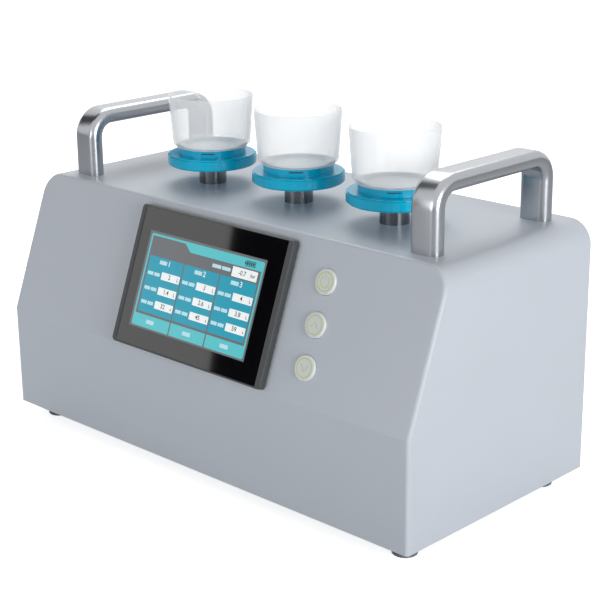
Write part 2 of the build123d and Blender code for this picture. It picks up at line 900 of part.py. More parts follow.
def clear_cup(x):
    """Clear funnel cup: spigot into the collar, sloping shoulder and a slightly flared wall."""
    spigot_low = seat_height + membrane_thick
    spigot_out = collar_r - collar_wall - cup_loose
    rim = cup_z + cup_height
    wall_low = cup_z + cup_low_height
    floor_edge = wall_low + cup_floor_rise
    return turned(
        x,
        [
            (cup_spigot_inner_r, spigot_low),
            (spigot_out, spigot_low),
            (spigot_out, cup_z),
            (cup_flange_r, cup_z),
            (cup_flange_r, cup_z + cup_flange_height),
            (cup_low_r, wall_low),
            (cup_rim_r, rim - cup_rim_edge),
            (cup_rim_r - cup_rim_edge, rim),
            (cup_rim_r - cup_wall, rim),
            (cup_low_r - cup_wall, floor_edge),
            (spigot_out, cup_z + cup_wall),
            (cup_spigot_inner_r, cup_z),
        ],
    )


for number, x in enumerate(station_xs, start=1):
    save(f"filter_post_{number}", filter_post(x))
    save(f"cup_base_{number}", cup_base(x))
    save(
        f"filter_membrane_{number}",
        turned(
            x,
            [
                (0, seat_height),
                (membrane_r, seat_height),
                (membrane_r, seat_height + membrane_thick),
                (0, seat_height + membrane_thick),
            ],
        ),
    )
    save(
        f"cup_gasket_{number}",
        turned(
            x,
            [
                (collar_r - collar_wall, collar_top),
                (gasket_r, collar_top),
                (gasket_r, cup_z),
                (collar_r - collar_wall, cup_z),
            ],
        ),
    )
    save(f"clear_cup_{number}", clear_cup(x))

with BuildPart() as post_nuts:
    for x in station_xs:
        hexagon(beneath(x, row_y, top_z - sheet), nut_across, nut_height)
    drill([on_top(x, row_y, top_z - sheet) for x in station_xs], shank_r + shank_gap, nut_height)
save("post_nuts", post_nuts)

with BuildPart() as post_seals:
    for x in station_xs:
        groove_plane = on_top(x, row_y, sealed_z + seal_rise + fit_gap)
        with BuildSketch(groove_plane):
            Circle(spigot_r)
            Circle(spigot_r - seal_width + fit_gap, mode=Mode.SUBTRACT)
        extrude(amount=seal_height - 2 * fit_gap)
save("post_seals", post_seals)

# Bracket that carries the manifold, the valves and the flow sensors
rail_y = row_y - manifold_depth / 2
sensor_z = floor_z + sensor_height
bracket_top = sensor_z + sensor_r
with BuildPart() as fluid_bracket:
    block(
        on_top(row_x, rail_y - bracket_thick / 2, floor_z),
        2 * manifold_half,
        bracket_thick,
        bracket_top - floor_z,
    )
    foot_middle = rail_y - bracket_thick - bracket_foot / 2
    block(on_top(row_x, foot_middle, floor_z), 2 * manifold_half, bracket_foot, bracket_thick)
    with BuildSketch(facing_front(0, rail_y, 0)):
        for x in station_xs:
            with Locations((x, (manifold_z + manifold_height + valve_side + sensor_z - sensor_r) / 2)):
                SlotOverall(station_pitch / 2, barb_length)
    extrude(amount=bracket_thick, mode=Mode.SUBTRACT)
save("fluid_bracket", fluid_bracket)

with BuildPart() as valve_manifold:
    block(on_top(row_x, row_y, manifold_z), 2 * manifold_half, manifold_depth, manifold_height)
    rod(facing_right(row_x + manifold_half, row_y, port_z), barb_r, barb_length)
save("valve_manifold", valve_manifold)

valve_z = manifold_z + manifold_height
with BuildPart() as solenoid_valves:
    for x in station_xs:
        block(on_top(x, row_y, valve_z), valve_side, valve_side, valve_side)
        rod(on_top(x, row_y, valve_z + valve_side), barb_r, barb_length)
        coil_seat = facing_front(x, row_y + valve_side / 2, valve_z + valve_side / 2)
        rod(coil_seat, coil_r, -coil_length)
        rod(coil_seat.offset(-coil_length), coil_nut_r, -coil_nut_length)
save("solenoid_valves", solenoid_valves)

with BuildPart() as flow_sensors:
    for x in station_xs:
        rod(facing_front(x, rail_y, sensor_z), sensor_r, -manifold_depth)
        rod(on_top(x, row_y, sensor_z), barb_r, sensor_r + barb_length)
        rod(beneath(x, row_y, sensor_z), barb_r, sensor_r + barb_length)
save("flow_sensors", flow_sensors)

with BuildPart() as pressure_sensor:
    gauge_seat = facing_right(row_x - manifold_half, row_y, port_z)
    rod(gauge_seat, gauge_neck_r, -gauge_neck_length)
    rod(gauge_seat.offset(-gauge_neck_length), gauge_r, -gauge_length)
save("pressure_sensor", pressure_sensor)


# Hoses: straight between stacked pieces, one easy bend to the pump and to the drain
def tube_section(seat):
    """Wall of the hose as a ring on a plane."""
    with BuildSketch(seat) as ring:
        Circle(hose_r)
        Circle(barb_r + hose_gap, mode=Mode.SUBTRACT)
    return ring.sketch


with BuildPart() as channel_hoses:
    post_barb_top = top_z - shank_length
    for x in station_xs:
        low = valve_z + valve_side + hose_stand
        extrude(tube_section(on_top(x, row_y, low)), amount=sensor_z - sensor_r - hose_stand - low)
        low = sensor_z + sensor_r + hose_stand
        extrude(tube_section(on_top(x, row_y, low)), amount=post_barb_top - hose_stand - low)
save("channel_hoses", channel_hoses)

with BuildPart() as pump_hose:
    hose_start = row_x + manifold_half + hose_stand
    corner_x = pump_x - pump_port_offset
    with BuildLine():
        FilletPolyline(
            (hose_start, row_y, port_z),
            (corner_x, row_y, port_z),
            (corner_x, pump_y - hose_stand, port_z),
            radius=pump_hose_bend,
        )
    sweep(tube_section(facing_right(hose_start, row_y, port_z)))
save("pump_hose", pump_hose)

head_top = floor_z + pump_head_side
outlet_y = pump_y + pump_head_depth / 2
with BuildPart() as drain_hose:
    with BuildLine():
        FilletPolyline(
            (drain_x, outlet_y, head_top + hose_stand),
            (drain_x, outlet_y, drain_z),
            (drain_x, inside_back_y - drain_shank_length - hose_stand, drain_z),
            radius=drain_hose_bend,
        )
    sweep(tube_section(on_top(drain_x, outlet_y, head_top + hose_stand)))
save("drain_hose", drain_hose)

with BuildPart() as drain_fitting:
    hexagon(at_rear(drain_x, drain_z), drain_nut_across, drain_nut_height)
    rod(at_rear(drain_x, drain_z, drain_nut_height), drain_stub_r, drain_stub_length)
    chamfer(drain_fitting.edges().sort_by(Axis.Y)[-1], post_edge)
    rod(at_rear(drain_x, drain_z), drain_shank_r, -panel_thick - drain_shank_length)
    hexagon(at_rear(drain_x, drain_z, -panel_thick), drain_nut_across, -drain_nut_height)
    rod(at_rear(drain_x, drain_z, -panel_thick - drain_shank_length), barb_r, -barb_length)
    drill([at_rear(drain_x, drain_z, rear_reach)], drain_bore_r, rear_reach + body_depth / 2)
save("drain_fitting", drain_fitting)

# Pump: square diaphragm head in front of a round motor that lies in a saddle
with BuildPart() as pump_head:
    block(facing_front(pump_x, pump_y, pump_z), pump_head_side, pump_head_side, -pump_head_depth)
    rod(facing_front(pump_x - pump_port_offset, pump_y, port_z), barb_r, barb_length)
    rod(on_top(drain_x, outlet_y, head_top), barb_r, barb_length)
save("pump_head", pump_head)

motor_y = pump_y + pump_head_depth
with BuildPart() as pump_motor:
    rod(facing_front(pump_x, motor_y, pump_z), motor_r, -motor_length)
    rod(facing_front(pump_x, motor_y + motor_length, pump_z), motor_boss_r, -motor_boss_length)
save("pump_motor", pump_motor)

with BuildPart() as pump_saddle:
    saddle_y = motor_y + saddle_head_gap
    block(on_top(pump_x, saddle_y + saddle_depth / 2, floor_z), saddle_width, saddle_depth, pump_z - floor_z)
    rod(facing_front(pump_x, saddle_y, pump_z), motor_r + saddle_gap, -saddle_depth, Mode.SUBTRACT)
save("pump_saddle", pump_saddle)

# Battery and the strap that holds it down
battery_y = inside_back_y - battery_back_gap - battery_depth / 2
with BuildPart() as battery_pack:
    block(on_top(battery_x, battery_y, floor_z), battery_width, battery_depth, battery_height)
    fillet(battery_pack.edges().filter_by(Axis.Z), battery_round)
save("battery_pack", battery_pack)

with BuildPart() as battery_strap:
    inner_width = battery_width + 2 * strap_gap
    inner_height = battery_height + strap_gap
    with BuildSketch(facing_front(battery_x, battery_y + strap_depth / 2, floor_z)):
        Rectangle(inner_width + 2 * strap_thick, inner_height + strap_thick, align=(Align.CENTER, Align.MIN))
        Rectangle(inner_width + 2 * (strap_thick + strap_foot), strap_thick, align=(Align.CENTER, Align.MIN))
        Rectangle(inner_width, inner_height, align=(Align.CENTER, Align.MIN), mode=Mode.SUBTRACT)
    extrude(amount=strap_depth)
save("battery_strap", battery_strap)

# Main board with its larger components, on the back panel's standoffs
board_y = inside_back_y - standoff_length
with BuildPart() as main_board:
    block(facing_front(board_x, board_y, board_z), board_width, board_height, board_thick)
    front_side = board_y - board_thick
    sink_place = facing_front(board_x - board_width / 4, front_side, board_z)
    block(sink_place, heat_sink_width, heat_sink_height, heat_sink_depth)
    chip_place = facing_front(board_x + board_width / 6, front_side, board_z + board_height / 5)
    block(chip_place, chip_side, chip_side, chip_thick)
    relay_place = facing_front(board_x + board_width / 3, front_side, board_z - board_height / 5)
    block(relay_place, relay_width, relay_height, relay_depth)
    plug_place = facing_front(board_x, front_side, board_z - board_height / 2 + board_edge)
    block(plug_place, plug_row_width, plug_row_height, plug_row_depth)
    for x in spread(capacitor_count, capacitor_pitch):
        rod(facing_front(board_x + x, front_side, board_z - board_height / 8), capacitor_r, capacitor_height)
save("main_board", main_board)

# Cooling fan: frame with struts and shaft, and a seven-blade rotor
with BuildPart() as fan_frame:
    inner_face = at_rear(fan_x, fan_z, -panel_thick)
    block(inner_face, fan_side, fan_side, -fan_depth)
    rod(inner_face, fan_bore_r, -fan_depth, Mode.SUBTRACT)
    strut_plane = inner_face.offset(-fan_depth)
    with BuildSketch(strut_plane):
        with PolarLocations(fan_bore_r / 2, 3, 90):
            Rectangle(fan_bore_r + clear, fan_strut)
        Circle(fan_plate_r)
    extrude(amount=fan_plate_thick)
    rod(strut_plane, fan_shaft_r, fan_depth - fan_end_gap)
    corner_seats = [at_rear(s.origin.X, s.origin.Z, -panel_thick) for s in fan_seats]
    drill(corner_seats, fan_screw_r + screw_gap, fan_depth)
save("fan_frame", fan_frame)

rotor_depth = fan_depth - fan_plate_thick - 2 * fan_end_gap
with BuildPart() as blade:
    # Thin blade lofted from its root to its tip, flatter towards the tip
    root = Plane(origin=(fan_hub_r - clear, 0, 0), x_dir=(0, 1, 0), z_dir=(1, 0, 0)).rotated((fan_root_angle, 0, 0))
    tip_r = fan_bore_r - fan_tip_gap - clear
    tip = Plane(origin=(tip_r, 0, 0), x_dir=(0, 1, 0), z_dir=(1, 0, 0)).rotated((fan_tip_angle, 0, 0))
    with BuildSketch(root):
        Rectangle(fan_blade_thick, fan_root_chord)
    with BuildSketch(tip):
        Rectangle(fan_blade_thick, fan_tip_chord)
    loft()

with BuildPart() as rotor_form:
    with BuildSketch(Plane.XY.offset(-rotor_depth / 2)):
        Circle(fan_hub_r)
    extrude(amount=rotor_depth)
    with PolarLocations(0, fan_blade_count):
        add(blade.part)
    # The blades' swept width is trimmed to the rotor's own depth
    with BuildSketch(Plane.XY.offset(-rotor_depth / 2)):
        Circle(fan_bore_r - fan_tip_gap)
    extrude(amount=rotor_depth, mode=Mode.INTERSECT)
    with BuildSketch(Plane.XY.offset(-rotor_depth / 2)):
        Circle(fan_shaft_r + fit_gap)
    extrude(amount=rotor_depth, mode=Mode.SUBTRACT)

with BuildPart() as fan_rotor:
    with Locations(at_rear(fan_x, fan_z, -panel_thick - fan_end_gap - rotor_depth / 2)):
        add(rotor_form.part)
save("fan_rotor", fan_rotor)

# Main switch: housing with a well and a pin, and the rocker that tips on it
well_width = rocker_width + 2 * rocker_side_gap
well_height = 2 * (rocker_half + rocker_end_gap)
with BuildPart() as switch_housing:
    block(at_rear(switch_x, service_z), switch_flange_width, switch_flange_height, switch_flange_thick)
    block(at_rear(switch_x, service_z), switch_body_width, switch_body_height, -switch_body_depth)
    well_top = at_rear(switch_x, service_z, switch_flange_thick)
    block(well_top, well_width, well_height, -switch_flange_thick - rocker_well, Mode.SUBTRACT)
    pin_seat = facing_right(switch_x - switch_body_width / 2, back_y - rocker_pivot_sink, service_z)
    rod(pin_seat, rocker_pin_r, switch_body_width)
save("switch_housing", switch_housing)

rocker_seat = Plane(
    origin=(switch_x - rocker_width / 2, back_y - rocker_pivot_sink, service_z), x_dir=(0, 1, 0), z_dir=(1, 0, 0)
)
with BuildPart() as switch_rocker:
    # Side view: out is local x, up is local y, tipped to the off position
    with BuildSketch(rocker_seat.rotated((rocker_tilt, 0, 0))):
        with BuildLine():
            Polyline(
                (rocker_mid_height, 0),
                (rocker_end_height, rocker_half),
                (0, rocker_half),
                (-rocker_belly, rocker_half / 2),
                (-rocker_belly, -rocker_half / 2),
                (0, -rocker_half),
                (rocker_end_height, -rocker_half),
                close=True,
            )
        make_face()
        Circle(rocker_pin_r + fit_gap, mode=Mode.SUBTRACT)
    extrude(amount=rocker_width)
save("switch_rocker", switch_rocker)

# Supply socket: flanged barrel with a centre pin
with BuildPart() as supply_socket:
    rod(at_rear(socket_x, service_z), socket_flange_r, socket_flange_thick)
    rod(at_rear(socket_x, service_z), socket_body_r, -socket_body_length)
    mouth = at_rear(socket_x, service_z, socket_flange_thick)
    rod(mouth, socket_bore_r, -socket_bore_depth, Mode.SUBTRACT)
    rod(mouth.offset(-socket_bore_depth), socket_pin_r, socket_bore_depth - clear)
save("supply_socket", supply_socket)
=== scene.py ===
"""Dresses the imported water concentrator: finishes, fine shapes, display page, light and camera.

Sizes are written in millimetres and turned into metres when a mesh is made. The frame is the
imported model's: +X to the operator's right, +Y to the back, +Z up, the floor at zero. Sizes of
finishes and places in the studio are in metres.
"""

import json
import logging
import math
from collections.abc import Callable, Sequence
from dataclasses import dataclass
from enum import Enum, IntEnum

import bmesh
import bpy
import numpy as np
from mathutils import Matrix, Vector

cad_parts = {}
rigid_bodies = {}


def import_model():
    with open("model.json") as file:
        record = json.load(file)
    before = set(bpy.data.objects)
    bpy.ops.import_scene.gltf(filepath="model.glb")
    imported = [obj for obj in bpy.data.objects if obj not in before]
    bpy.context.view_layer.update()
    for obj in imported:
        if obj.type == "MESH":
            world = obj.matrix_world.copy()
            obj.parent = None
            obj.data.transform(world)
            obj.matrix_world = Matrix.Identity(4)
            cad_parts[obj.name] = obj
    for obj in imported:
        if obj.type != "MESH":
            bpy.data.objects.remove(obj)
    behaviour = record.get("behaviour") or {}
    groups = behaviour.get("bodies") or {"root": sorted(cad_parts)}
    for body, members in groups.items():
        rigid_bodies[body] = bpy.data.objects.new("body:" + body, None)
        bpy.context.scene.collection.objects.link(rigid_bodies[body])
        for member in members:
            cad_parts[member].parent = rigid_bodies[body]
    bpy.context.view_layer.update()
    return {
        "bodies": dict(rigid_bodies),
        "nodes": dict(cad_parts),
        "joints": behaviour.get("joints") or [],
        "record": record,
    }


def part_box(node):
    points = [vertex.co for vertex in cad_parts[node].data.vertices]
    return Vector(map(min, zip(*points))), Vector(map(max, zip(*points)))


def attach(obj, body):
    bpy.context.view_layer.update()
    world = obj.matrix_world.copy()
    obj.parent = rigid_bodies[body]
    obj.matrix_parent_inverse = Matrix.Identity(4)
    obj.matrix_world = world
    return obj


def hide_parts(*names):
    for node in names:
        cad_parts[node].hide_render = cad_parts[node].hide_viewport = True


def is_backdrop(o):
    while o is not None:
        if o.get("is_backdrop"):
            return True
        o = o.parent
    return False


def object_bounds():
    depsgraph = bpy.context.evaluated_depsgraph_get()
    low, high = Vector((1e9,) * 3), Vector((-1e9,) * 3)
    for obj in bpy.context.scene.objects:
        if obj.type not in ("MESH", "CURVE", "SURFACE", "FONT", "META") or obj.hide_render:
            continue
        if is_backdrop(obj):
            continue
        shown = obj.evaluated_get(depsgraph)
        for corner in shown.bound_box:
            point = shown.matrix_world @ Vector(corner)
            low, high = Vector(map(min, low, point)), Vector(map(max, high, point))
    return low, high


Array = np.ndarray
Colour = tuple[float, float, float]
Point = tuple[float, float, float]
Pair = tuple[float, float]
Levels = tuple[float, float]

METRES = 0.001
FULL_TURN = 2 * math.pi
# Nearer points of a mesh are one and shorter edges go, in metres
SAME_POINT = 1e-7
NO_LENGTH = 1e-8
# Nearer points of an outline are one, in millimetres
SAME_OUTLINE_POINT = 1e-6
# A corner's cosine stays within this, so that its arc has a middle
STRAIGHTEST = 0.999999
# Edges that turn by more degrees than this stay sharp
CREASE_ANGLE = 32.0
# Share of its height by which the type is thickened, and the steps of its curves
BOLDNESS = 0.012
CURVE_STEPS = 3
# Middle of a noise's range
NOISE_MIDDLE = 0.5
STATION_NUMBERS = (1, 2, 3)
log = logging.getLogger("dressing")


# Shader maths


def maths(operation: str) -> Callable[["Wire", "Wire | float"], "Wire"]:
    """Makes a method that wires one Math node.

    Args:
        operation: what the node does with its two values.

    Returns:
        The method.
    """

    def method(self: "Wire", other: "Wire | float") -> "Wire":
        """Result of the node on this value and another."""
        return self.bench.add("Math", {"operation": operation}, {0: self, 1: other})

    return method


@dataclass(frozen=True)
class Wire:
    """One output of a node. Arithmetic on it adds Math nodes to the same tree.

    Below is 1 under the other value, otherwise 0. Folded runs up to a length and back, repeatedly.
    """

    bench: "Bench"
    socket: bpy.types.NodeSocket

    __add__ = maths("ADD")
    __sub__ = maths("SUBTRACT")
    __mul__ = maths("MULTIPLY")
    power = maths("POWER")
    largest = maths("MAXIMUM")
    smallest = maths("MINIMUM")
    below = maths("LESS_THAN")
    folded = maths("PINGPONG")


class Bench:
    """A node tree being wired: of a material or of the world."""

    def __init__(self, tree: bpy.types.NodeTree) -> None:
        """Keeps the tree and empties it."""
        self.tree = tree
        tree.nodes.clear()

    def add(
        self,
        kind: str,
        settings: dict[str, object] | None = None,
        sockets: dict[str | int, object] | None = None,
        output: str | int = 0,
    ) -> Wire:
        """Adds one node.

        Args:
            kind: the node's type, without the word ShaderNode before it.
            settings: its own settings, set before its sockets.
            sockets: values or wires, by the input's name or number.
            output: which output to return.

        Returns:
            The chosen output.
        """
        node = self.tree.nodes.new("ShaderNode" + kind)
        for name, value in (settings or {}).items():
            setattr(node, name, value)
        for name, value in (sockets or {}).items():
            if isinstance(value, Wire):
                self.tree.links.new(value.socket, node.inputs[name])
            elif isinstance(value, tuple) and node.inputs[name].type == "RGBA":
                node.inputs[name].default_value = (*value, 1.0)
            else:
                node.inputs[name].default_value = value
        return Wire(self, node.outputs[output] if len(node.outputs) else None)

    def blend(self, share: Wire | float, low: Colour | Wire, high: Colour | Wire) -> Wire:
        """Colour between two colours, by a share from 0 to 1."""
        return self.add("Mix", {"data_type": "RGBA"}, {0: share, 6: low, 7: high}, 2)

    def noise(self, place: Wire, size: float) -> Wire:
        """Soft noise from 0 to 1 with spots of the given size in metres."""
        return self.add("TexNoise", {}, {"Vector": place, "Scale": 1.0 / size})


@dataclass(frozen=True)
class Pattern:
    """A material's tree with its coordinates and its fine and broad noise."""

    bench: Bench
    place: Wire
    fine: Wire
    broad: Wire

    def mixed(self, share: float) -> Wire:
        """The fine noise by its share and the broad noise by the rest."""
        return self.fine * share + self.broad * (1.0 - share)


# Finishes


@dataclass(frozen=True)
class Finish:
    """A plain surface: its colour and gloss, and the fine grain in both.

    Sizes are in metres. Constants are set on the shader's own sockets.
    """

    name: str
    colour: Colour
    roughness: float = 0.5
    metallic: float = 0.0
    grain: float = 0.0012
    depth: float = 0.00001
    mottle: float = 0.05
    gloss_drift: float = 0.08
    drift_size: float = 0.05
    stretch: Point = (1.0, 1.0, 1.0)
    constants: tuple[tuple[str, object], ...] = ()
    fine_in_colour: float = 0.4
    fine_in_gloss: float = 0.3
    bump_strength: float = 0.6

    def make(self) -> bpy.types.Material:
        """Builds the material, or returns the one already built.

        Returns:
            The material.
        """
        found = bpy.data.materials.get(self.name)
        if found:
            return found
        material = bpy.data.materials.new(self.name)
        material.use_nodes = True
        bench = Bench(material.node_tree)
        place = bench.add("TexCoord", {}, {}, "Object")
        place = bench.add("Mapping", {}, {"Vector": place, "Scale": self.stretch})
        fine, broad = bench.noise(place, self.grain), bench.noise(place, self.drift_size)
        pattern = Pattern(bench, place, fine, broad)
        sockets = {
            "Base Color": self.tone(pattern),
            "Metallic": self.metallic,
            "Roughness": self.gloss(pattern),
            "Normal": self.relief(pattern),
            **dict(self.constants),
            **self.extras(pattern),
        }
        shader = bench.add("BsdfPrincipled", {}, sockets)
        bench.add("OutputMaterial", {}, {"Surface": shader})
        return material

    def tone(self, pattern: Pattern) -> Wire:
        """Colour, slightly darker and lighter with the broad and the fine noise."""
        shades = [tuple(min(1.0, c * (1.0 + s * self.mottle)) for c in self.colour) for s in (-1.0, 1.0)]
        return pattern.bench.blend(pattern.mixed(self.fine_in_colour), *shades)

    def gloss(self, pattern: Pattern) -> Wire:
        """Roughness that drifts with the noise: the middle value plus a small signed share."""
        return (pattern.mixed(self.fine_in_gloss) - NOISE_MIDDLE) * self.gloss_drift + self.roughness

    def relief(self, pattern: Pattern) -> Wire:
        """Normal with the fine grain raised by the grain's depth."""
        bump = {"Strength": self.bump_strength, "Distance": self.depth, "Height": pattern.fine}
        return pattern.bench.add("Bump", {}, bump)

    def extras(self, pattern: Pattern) -> dict[str, object]:
        """Further sockets that a special finish needs; none here."""
        return {}


@dataclass(frozen=True)
class Glow(Finish):
    """A lit part of the display: its colour comes partly from its own light."""

    roughness: float = 0.22
    gloss_drift: float = 0.02
    strength: float = 0.55
    row_size: float = 0.0006
    dimmest: float = 0.94

    def extras(self, pattern: Pattern) -> dict[str, object]:
        """Adds the light that the page gives off, with the display's fine unevenness.

        Args:
            pattern: the material's pattern.

        Returns:
            The emission's colour and strength.
        """
        rows = pattern.bench.noise(pattern.place, self.row_size)
        dim = tuple(c * self.dimmest for c in self.colour)
        light = pattern.bench.blend(rows, dim, self.colour)
        return {"Emission Color": light, "Emission Strength": self.strength}


@dataclass(frozen=True)
class ClearPlastic(Finish):
    """Thin clear wall: rather open seen square on, milkier where the wall is seen edge on."""

    open_alpha: float = 0.28
    edge_alpha: float = 0.9
    edge_power: float = 2.6

    def extras(self, pattern: Pattern) -> dict[str, object]:
        """Alpha: its lowest value plus the range times the facing angle raised to a power."""
        facing = pattern.bench.add("LayerWeight", {}, {}, "Facing").power(self.edge_power)
        return {"Alpha": facing * (self.edge_alpha - self.open_alpha) + self.open_alpha}


@dataclass(frozen=True)
class Membrane(Finish):
    """White filter membrane with the fine grey counting grid that such membranes carry."""

    grid: float = 0.0031
    line: float = 0.04
    line_share: float = 0.5
    line_colour: Colour = (0.55, 0.60, 0.62)

    def tone(self, pattern: Pattern) -> Wire:
        """White, a little greyer on lines where a coordinate is near a multiple of the grid.

        Args:
            pattern: the material's pattern.

        Returns:
            The colour.
        """
        bench, place = pattern.bench, {"Vector": pattern.place}
        parts = [bench.add("SeparateXYZ", {}, place, axis) for axis in ("X", "Y")]
        across, along = (part.folded(self.grid / 2) * (2.0 / self.grid) for part in parts)
        line = across.smallest(along).below(self.line)
        plain = super().tone(pattern)
        return bench.blend(line * self.line_share, plain, self.line_colour)


CASE = Finish(
    "case_powder_coat",
    (0.55, 0.585, 0.635),
    0.42,
    depth=0.000012,
    mottle=0.02,
    constants=(("Coat Weight", 0.08), ("Coat Roughness", 0.2)),
)
HANDLE = Finish(
    "satin_handle", (0.44, 0.455, 0.48), 0.26, 1.0, 0.0006, 0.000004, 0.03, stretch=(1.0, 0.15, 0.15)
)
# Posts: the strong mottle, stretched upright, paints dark and light vertical streaks, painted reflections in
# the chrome
POLISHED = Finish(
    "polished_post", (0.19, 0.20, 0.21), 0.16, 1.0, 0.004, 0.00003, 0.95, stretch=(1.0, 1.0, 0.03)
)
TURNED = Finish(
    "turned_steel", (0.60, 0.61, 0.63), 0.28, 1.0, 0.0008, 0.000004, 0.06, stretch=(1.0, 6.0, 1.0)
)
BLOCK = Finish(
    "machined_block", (0.66, 0.67, 0.69), 0.30, 1.0, 0.0009, 0.000005, 0.06, stretch=(0.1, 1.0, 1.0)
)
ZINC = Finish("zinc_sheet", (0.58, 0.60, 0.62), 0.36, 1.0, 0.004, 0.000006, 0.12)
SCREWS = Finish("screw_steel", (0.55, 0.56, 0.58), 0.30, 1.0, 0.001, 0.000004, 0.08)
RUBBER = Finish("foot_rubber", (0.10, 0.108, 0.115), 0.62, 0.0, 0.0009, 0.00003, 0.10)
BEZEL = Finish("bezel_moulding", (0.055, 0.06, 0.062), 0.38, 0.0, 0.0006, 0.00001, 0.06)
SCREEN_GLASS = Finish(
    "screen_glass", (0.004, 0.004, 0.005), 0.05, depth=0.0000005, gloss_drift=0.01, constants=(("IOR", 1.85),)
)
# Blue base: the strong broad mottle paints darker and lighter patches, painted reflections on the glossy
# plastic
BLUE = Finish(
    "blue_base",
    (0.0, 0.47, 0.71),
    0.14,
    grain=0.004,
    depth=0.000004,
    mottle=0.16,
    drift_size=0.02,
    gloss_drift=0.06,
    constants=(("Transmission Weight", 0.06), ("Specular IOR Level", 0.3), ("Coat Weight", 0.1)),
)
# Dark blue of the collar slot: painted shade of the slot's recess, not the plastic's own colour
SLOT_SHADE_BLUE = Finish("blue_slot_shade", (0.0, 0.10, 0.19), 0.3, grain=0.002, depth=0.000004, mottle=0.1)
# Clear cup: the faint emission is painted light that brightens the wall; the cup is no lamp
CLEAR = ClearPlastic(
    "clear_cup",
    (0.92, 0.93, 0.935),
    0.08,
    grain=0.02,
    depth=0.000004,
    mottle=0.04,
    constants=(("Emission Strength", 0.08), ("Emission Color", (0.95, 0.97, 1.0))),
)
GASKET = Finish("grey_gasket", (0.52, 0.58, 0.61), 0.6, 0.0, 0.0008, 0.00002, 0.08)
SEAL = Finish("black_seal", (0.03, 0.03, 0.032), 0.6, 0.0, 0.0008, 0.00002, 0.08)
MEMBRANE = Membrane("filter_membrane", (0.72, 0.77, 0.79), 0.85, 0.0, 0.0004, 0.00002, 0.03)
CAP = Finish(
    "button_cap",
    (0.73, 0.76, 0.75),
    0.34,
    depth=0.000006,
    mottle=0.03,
    constants=(("Coat Weight", 0.3), ("Coat Roughness", 0.1)),
)
LIME = Finish("button_print", (0.62, 0.66, 0.19), 0.42, 0.0, 0.0006, 0.000004, 0.05)
BLACK = Finish("black_moulding", (0.022, 0.023, 0.025), 0.45, 0.0, 0.0007, 0.00002, 0.08)
WHITE_PLASTIC = Finish("white_moulding", (0.72, 0.73, 0.72), 0.40, 0.0, 0.001, 0.00001, 0.04)
BOARD = Finish("circuit_board", (0.02, 0.16, 0.07), 0.35, 0.0, 0.0016, 0.00003, 0.30)
HOSE = Finish("milky_hose", (0.74, 0.76, 0.76), 0.35, 0.0, 0.002, 0.000008, 0.05)
WRAP = Finish("battery_wrap", (0.03, 0.10, 0.28), 0.38, 0.0, 0.003, 0.00003, 0.10)
PAGE_GREY = Glow("page_grey", (0.118, 0.124, 0.132))
PAGE_TEAL = Glow("page_teal", (0.085, 0.44, 0.47))
PAGE_BLUE = Glow("page_blue", (0.018, 0.27, 0.37))
PAGE_WHITE = Glow("page_white", (0.76, 0.78, 0.78), strength=0.5)
PAGE_LABEL = Glow("page_label", (0.42, 0.62, 0.68), strength=0.5)
PAGE_INK = Finish("page_ink", (0.10, 0.11, 0.12), 0.3, gloss_drift=0.02)
PAGE_DARK = Finish("page_dark", (0.01, 0.03, 0.035), 0.3, gloss_drift=0.02)

SLOT_FINISH: dict[str, Finish] = {
    "case_paint": CASE,
    "bracket_steel": ZINC,
    "screw_steel": SCREWS,
    "foot_rubber": RUBBER,
    "handle_metal": HANDLE,
    "bezel_plastic": BEZEL,
    "touch_glass": SCREEN_GLASS,
    "display": BLACK,
    "seal_rubber": SEAL,
    "gasket_grey": GASKET,
    "circuit_board": BOARD,
    "black_plastic": BLACK,
    "button_plastic": CAP,
    "post_steel": POLISHED,
    "base_blue": BLUE,
    "cup_clear": CLEAR,
    "membrane_white": MEMBRANE,
    "fitting_steel": TURNED,
    "block_metal": BLOCK,
    "hose_clear": HOSE,
    "sensor_plastic": WHITE_PLASTIC,
    "battery_wrap": WRAP,
}
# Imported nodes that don't take their slot's finish
SPECIAL_FINISH: dict[str, Finish] = {"pump_motor": ZINC, "solenoid_valves": BLACK}


# Shapes


